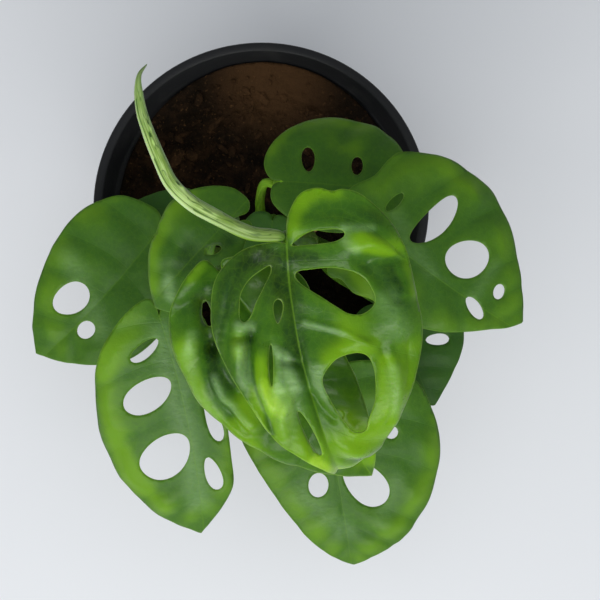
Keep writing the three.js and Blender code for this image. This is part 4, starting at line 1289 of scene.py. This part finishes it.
def roll_skin():
    recipe = Recipe("roll_skin")
    wrap = recipe.flat("wrap")
    turn, distance = recipe.split(wrap)
    distance = distance * FLAT_UNIT
    painted_shading = recipe.stored("painted_shading")
    streaks = recipe.streaks(wrap, (9, 5), 1 / 3, 3, 0.5)
    drift = recipe.streaks(wrap, (4, 6), 1 / 2, 1, 0.4)
    patches = recipe.cloud(recipe.place(), 0.006, 2)
    seam = SEAM_TURN - distance * (SEAM_DRIFT / ROLL_LENGTH)
    lit_band = recipe.step(turn, 0.03, 0.12) * recipe.step(turn - seam, 0.004, -0.02)
    far = recipe.step(turn, 0.4, 0.56) * recipe.step(turn, 0.9, 0.75)
    inner = recipe.step(turn, 0.24, 0.14) * recipe.step(distance, 24, 8)
    crease = recipe.step(abs(turn - seam - 0.012), 0.014, 0.004)
    lines = recipe.step(abs(drift - 0.5), 0.026, 0.006) * recipe.step(turn, 0.24, 0.3)

    colour = recipe.layers(
        tint(118, 148, 62),
        (recipe.step(streaks * 0.6 + patches * 0.4, 0.38, 0.6), tint(168, 194, 120)),
        # painted light: the pale band beside the seam, on the spear's lit side
        (lit_band * 0.8, tint(184, 208, 146)),
        (far * 0.75, tint(126, 154, 100)),
        (recipe.step(distance, 36, 60) * 0.6, tint(112, 140, 78)),
        (recipe.step(distance, 26, 6) * 0.75, tint(108, 134, 62)),
        (inner * 0.9, tint(120, 160, 28)),
        (recipe.step(distance, 57, 62) * 0.8, tint(72, 86, 52)),
        (recipe.step(distance, 2.6, 0.8) * 0.8, tint(78, 116, 32)),
        # painted shade along the seam's step
        (crease * recipe.step(distance, 8, 20) * 0.8, tint(58, 92, 34)),
        (lines * 0.7, tint(66, 96, 36)),
        # painted shade on each blister's side towards the tip, painted light on its side towards
        # the base
        (recipe.step(painted_shading, 0.03, 0.14), tint(54, 84, 30)),
        (recipe.step(painted_shading, -0.02, -0.16) * 0.7, tint(176, 208, 122)),
    )
    height = streaks - crease * 0.6 - lines * 0.5
    return recipe.finish(colour, 0.34 + streaks * 0.16, 0.3, height, (0.4, 0.0003), ROLL_SOFT)


# %% Grow the rolled leaf
SHADOW = 1.4  # mm from a blister towards the tip, where its painted dark side lies


def grow_roll():
    def reach(along, angle, distance):
        seam = (SEAM_TURN - SEAM_DRIFT * along) * 2 * math.pi
        turn = (angle - seam) % (2 * math.pi) / (2 * math.pi)
        spiral = 1 + ROLL_STEP * (turn - 0.5)
        lumps = 1 + 0.05 * noise.noise(Vector((distance / 5, math.cos(angle), math.sin(angle))))
        return ROLL_RADIUS * level(ROLL_WIDTHS, along) * spiral * (lumps + blister(angle, distance))

    # painted shade and light on the blisters: above 0 on the side towards the tip, below 0 on the
    # other
    def painted_shading_of(angle, distance):
        return blister(angle, distance, SHADOW) - blister(angle, distance)

    bm = stalk(stalk_spline(ROLL_LINE), ROLL_RINGS, ROLL_SIDES, reach, painted_shading_of)
    piece("rolled_leaf", bm, [roll_skin()], "furled_leaf", "new_leaf")


grow_roll()

# %% [markdown]
# ## The pot
# A nursery pot is blown or pressed from thin black plastic: a tapered wall, a wider collar and
# a small turned lip. Its section is drawn once and spun round the axis, and the spun corners
# are kept slightly round, because no moulded edge is sharp.


# %% Pot material
def pot_skin():
    recipe = Recipe("pot_skin")
    where = recipe.place()
    grain = recipe.cloud(where, 0.0009, 3)
    dust = recipe.cloud(where, 0.02, 5, 0.65)
    bands = recipe.cloud(recipe.place((1, 1, 16)), 0.05, 3)
    dusty = recipe.step(dust, 0.5, 0.8) * 0.3
    colour = recipe.layers(tint(27, 28, 30), (dusty, tint(58, 56, 52)))
    rough = 0.42 + grain * 0.14 + recipe.step(dust, 0.4, 0.8) * 0.2
    return recipe.finish(colour, rough, 0.45, grain * 0.5 + bands * 0.8, (0.25, 0.0004))


# %% Spin the pot
RIM_RADIUS = 60  # mm, like all the pot's measures
BASE_RADIUS = 43
POT_HEIGHT = 105
WALL = 1.2
FLOOR = 1.6
COLLAR_HEIGHT = 14
COLLAR_STEP = 1.9
LIP_DEPTH = 2.2
DRAIN_RADIUS = 4
DRAIN_CIRCLE = 32  # the radius on which the drain holes lie
DRAIN_HOLES = 8
DRAIN_SIDES = 24
POT_SIDES = 144
WELD = 0.001  # points nearer to each other than this become one


def wall_radius(height):
    """The outside of the pot's tapered wall, below the collar."""
    top = RIM_RADIUS - LIP_DEPTH - COLLAR_STEP
    return BASE_RADIUS + (top - BASE_RADIUS) * height / POT_HEIGHT


def pot_section():
    """Radius and height: from the base's middle outwards, up, over the lip and back inside."""
    collar = POT_HEIGHT - COLLAR_HEIGHT
    wall = wall_radius(collar)
    step = wall + COLLAR_STEP
    lip = RIM_RADIUS - LIP_DEPTH
    floor = wall_radius(FLOOR) - WALL
    outside = [
        (0, 0), (BASE_RADIUS - 1.2, 0), (BASE_RADIUS - 0.3, 0.3), (wall_radius(1.5), 1.5),
        (wall - 0.1, collar - 0.4), (wall + 0.4, collar), (step - 0.5, collar + 0.5),
        (step, collar + 1.2), (lip, POT_HEIGHT - 2.9), (lip + 0.5, POT_HEIGHT - 2.3),
        (RIM_RADIUS - 0.6, POT_HEIGHT - 2.2), (RIM_RADIUS, POT_HEIGHT - 1.6),
        (RIM_RADIUS, POT_HEIGHT - 0.6), (RIM_RADIUS - 0.5, POT_HEIGHT),
    ]
    hollow = [
        (lip - WALL + 0.5, POT_HEIGHT), (lip - WALL, POT_HEIGHT - 0.6),
        (step - WALL, collar + 1.9), (step - WALL - 0.7, collar + 0.9), (wall - WALL, collar),
        (floor, FLOOR + 0.6), (floor - 1, FLOOR), (0, FLOOR),
    ]
    return outside + hollow


def spin_section(section, sides):
    """Turns a section (radius, height) round the Z axis into a closed body."""
    bm = bmesh.new()
    verts = [bm.verts.new((radius, 0, height)) for radius, height in section]
    edges = [bm.edges.new(pair) for pair in zip(verts, verts[1:])]
    bmesh.ops.spin(
        bm, geom=verts + edges, cent=(0, 0, 0), axis=(0, 0, 1), angle=2 * math.pi, steps=sides,
        use_merge=True,
    )
    bmesh.ops.remove_doubles(bm, verts=bm.verts, dist=WELD)
    bmesh.ops.recalc_face_normals(bm, faces=bm.faces)
    return bm


def drill(made):
    """Cuts the drain holes through the pot's base with one boolean."""
    bm = bmesh.new()
    for i in range(DRAIN_HOLES):
        angle = (i + 0.5) / DRAIN_HOLES * 2 * math.pi
        x = DRAIN_CIRCLE * math.cos(angle)
        y = DRAIN_CIRCLE * math.sin(angle)
        bmesh.ops.create_cone(
            bm, cap_ends=True, segments=DRAIN_SIDES, radius1=DRAIN_RADIUS * MM,
            radius2=DRAIN_RADIUS * MM, depth=4 * FLOOR * MM,
            matrix=Matrix.Translation(Vector((x, y, FLOOR / 2)) * MM),
        )
    drills = put("drills", mesh_of("drills", bm))
    cut = made.modifiers.new("drain", "BOOLEAN")
    cut.operation = "DIFFERENCE"
    cut.object = drills
    cut.solver = "EXACT"
    ready = made.evaluated_get(bpy.context.evaluated_depsgraph_get())
    drilled = bpy.data.meshes.new_from_object(ready)
    made.modifiers.clear()
    made.data = drilled
    bpy.data.objects.remove(drills)


bm = spin_section(pot_section(), POT_SIDES)
pot = piece("pot", bm, [pot_skin()], "nursery_pot", "pot_plastic")
drill(pot)
print("pot:", len(pot.data.polygons), "faces")

# %% [markdown]
# ## The soil
# Potting soil is a dark, crumbly mix of peat, bark and fibres. The block fills the pot, and its
# top is made uneven by noise. Crumbs and bits of bark lie on it. Each is a small rough lump of
# a few faces, and all of them are one mesh, because hundreds of objects would be slow.


# %% Soil material
LIT_PLACE = (0.005, 0.052, 0)  # m, the middle of the painted light: browner soil at the back, where light falls past the rim
SHADED_PLACE = (0.014, -0.035, 0)  # m, and the middle of the painted shade: near black soil under the leaves


def soil_skin(name, dark, light):
    recipe = Recipe(name)
    where = recipe.place()
    lumps = recipe.cloud(where, 0.006, 6, 0.7)
    crumbs = recipe.cloud(where, 0.0014, 4, 0.6)
    damp = recipe.cloud(where, 0.03, 3)
    spot = recipe.place((1, 1, 0))
    from_lit_patch, from_shaded_patch = (
        recipe.node("VectorMath", {"operation": "DISTANCE"}, {0: spot, 1: centre}, output=1)
        for centre in (LIT_PLACE, SHADED_PLACE)
    )
    colour = recipe.layers(
        dark,
        (recipe.step(lumps, 0.4, 0.68), light),
        (recipe.step(crumbs, 0.58, 0.72) * 0.5, tint(112, 82, 52)),
        (recipe.step(damp, 0.62, 0.4) * 0.5, dark),
        # painted light: browner round the lit patch at the back; painted shade: near black under
        # the leaves
        (recipe.step(from_lit_patch + lumps * 0.012, 0.036, 0.012) * 0.6, tint(88, 62, 38)),
        (recipe.step(from_shaded_patch + lumps * 0.01, 0.055, 0.035) * 0.75, tint(9, 6, 3)),
    )
    rough = 0.82 + crumbs * 0.14
    return recipe.finish(colour, rough, 0.12, lumps + crumbs * 0.5, (1.0, 0.0015))


soil_dark = soil_skin("soil_dark", tint(18, 12, 6), tint(46, 31, 18))
bark = soil_skin("bark", tint(34, 23, 13), tint(66, 46, 28))

# %% Soil block
SOIL_TOP = 91  # mm, its even level at the wall
SOIL_CROWN = 1.5  # mm more in the middle
SOIL_RINGS = 70
SOIL_SIDES = 200
SOIL_SLACK = 0.3  # mm between the soil and the pot
SOIL_SINK = 0.3  # mm that its rough surface lies lower than the even one
SOIL_CALM = 2  # mm from its edge inwards, where the surface is less rough
BANK_HEIGHT = 8.5  # how high the soil is heaped against the pot's back wall
BANK_START = 44  # mm from the axis, where the heap begins
BANK_WIDTH = math.radians(48)  # how far it spreads to either side
WALL_LEAN = 0.32  # mm outwards for each mm that the heap rises


def bank_rise(x, y):
    """How high the heap at the back stands at a place."""
    distance = math.hypot(x, y)
    climb = max(0.0, min(1.0, (distance - BANK_START) / (wall_radius(SOIL_TOP) - BANK_START)))
    turn = math.atan2(y, x) - math.pi / 2
    turn = (turn + math.pi) % (2 * math.pi) - math.pi
    return BANK_HEIGHT * climb ** 1.5 * bump_at(turn, BANK_WIDTH)


def soil_height(x, y):
    """How far the soil's surface is from its even level."""
    spot = Vector((x, y, 0))
    lump = noise.fractal(spot / 9, 0.6, 2.1, 5)
    grain = noise.fractal(spot / 2.2 + Vector((7, 3, 1)), 0.7, 2.0, 3)
    return 1.5 * lump + 0.45 * grain


def soil_block():
    edge = wall_radius(SOIL_TOP) - WALL - SOIL_SLACK
    foot = wall_radius(2) - WALL - SOIL_SLACK
    section = [
        (0, FLOOR + SOIL_SLACK), (foot, FLOOR + SOIL_SLACK), (edge - 0.2, SOIL_TOP - 1.5),
        (edge, SOIL_TOP),
    ]
    for i in range(1, SOIL_RINGS + 1):
        share = 1 - i / SOIL_RINGS
        section.append((edge * share, SOIL_TOP + SOIL_CROWN * (1 - share ** 2)))
    bm = spin_section(section, SOIL_SIDES)
    for vert in bm.verts:
        if vert.co.z >= SOIL_TOP - 0.01:
            room = min(1.0, (edge - vert.co.xy.length) / SOIL_CALM)
            vert.co.z += soil_height(vert.co.x, vert.co.y) * (0.35 + 0.65 * room) - SOIL_SINK
            rise = bank_rise(vert.co.x, vert.co.y)
            vert.co.z += rise
            vert.co.xy *= 1 + rise * WALL_LEAN / vert.co.xy.length if rise else 1
    return bm


piece("soil", soil_block(), [soil_dark], "potting_soil", "soil")

# %% Crumbs and bark on the soil
CRUMBS = 900
BARK_BITS = 150
CRUMB_MARGIN = 2.5  # mm between the outermost crumbs and the pot
ROUGHNESS = 0.22  # how far a lump's corners are moved, as a share of its size
rng = random.Random(11)


def scatter(count, low, high, squash):
    """One bmesh of small rough lumps that lie on the soil."""
    edge = wall_radius(SOIL_TOP) - WALL - CRUMB_MARGIN
    uniform = rng.uniform
    bm = bmesh.new()
    for _ in range(count):
        distance = edge * rng.random() ** 0.5
        turn = uniform(0, 2 * math.pi)
        x = distance * math.cos(turn)
        y = distance * math.sin(turn)
        size = uniform(low, high) * uniform(0.6, 1)
        base = SOIL_TOP + SOIL_CROWN * (1 - (distance / edge) ** 2)
        base += soil_height(x, y) - SOIL_SINK + bank_rise(x, y)
        shape = Matrix.Diagonal((uniform(1, squash), uniform(0.7, 1), uniform(0.45, 0.8), 1))
        tilt = Matrix.Rotation(uniform(-0.5, 0.5), 4, "X")
        tilt = tilt @ Matrix.Rotation(uniform(0, 6.3), 4, "Z")
        place = Matrix.Translation((x, y, base + size * 0.2)) @ tilt.inverted() @ shape
        lump = bmesh.ops.create_icosphere(bm, subdivisions=1, radius=size, matrix=place)["verts"]
        for vert in lump:
            vert.co += Vector([uniform(-1, 1) for _ in range(3)]) * size * ROUGHNESS
    return bm


def join_crumbs():
    bm = scatter(CRUMBS, 0.5, 1.5, 1.5)
    piece("soil_crumbs", bm, [soil_dark], "potting_soil", "soil", smooth=False)
    bm = scatter(BARK_BITS, 0.9, 2.6, 2.6)
    piece("bark_bits", bm, [bark], "potting_soil", "soil", smooth=False)


join_crumbs()

# %% [markdown]
# ## Floor and light
# A plain pale floor and soft light from a large window at the plant's front, with a weaker
# glow from everywhere else, so that the shadows stay open and the quilting still shows.


# %% Stage
FLOOR_HALF = 3  # m, half the width of the floor


def build_stage():
    bm = bmesh.new()
    bmesh.ops.create_grid(bm, x_segments=1, y_segments=1, size=FLOOR_HALF)
    mesh = mesh_of("floor", bm)
    recipe = Recipe("floor_paint")
    soft = recipe.cloud(recipe.place(), 0.3, 2)
    colour = recipe.layers(tint(228, 230, 234), (soft, tint(232, 234, 238)))
    mesh.materials.append(recipe.finish(colour, 0.75, 0.2))
    put("floor", mesh)


def area_light(name, place, target, size, power, colour, shines=True):
    data = bpy.data.lights.new(name, "AREA")
    data.shape = "RECTANGLE"
    data.size, data.size_y = size
    data.energy = power
    data.color = colour
    lamp = put(name, data)
    lamp.location = place
    lamp.rotation_euler = (Vector(target) - Vector(place)).to_track_quat("-Z", "Y").to_euler()
    lamp.visible_glossy = shines


def light_scene():
    world = bpy.data.worlds.new("room")
    world.use_nodes = True
    glow = world.node_tree.nodes["Background"].inputs
    glow["Color"].default_value = (0.93, 0.96, 1, 1)
    glow["Strength"].default_value = 0.27
    bpy.context.scene.world = world
    area_light("window", (-0.12, -1.0, 0.88), (0, -0.05, 0.1), (1.5, 0.55), 14, (1, 0.99, 0.97))
    sky = (0.94, 0.98, 1)
    area_light("sky_panel", (0, -0.2, 1.25), (0, -0.05, 0.15), (0.9, 0.9), 4.6, sky, False)


build_stage()
light_scene()
view = bpy.context.scene.view_settings
view.view_transform = "Standard"
view.look = "None"

# %% Finish
bpy.context.view_layer.update()
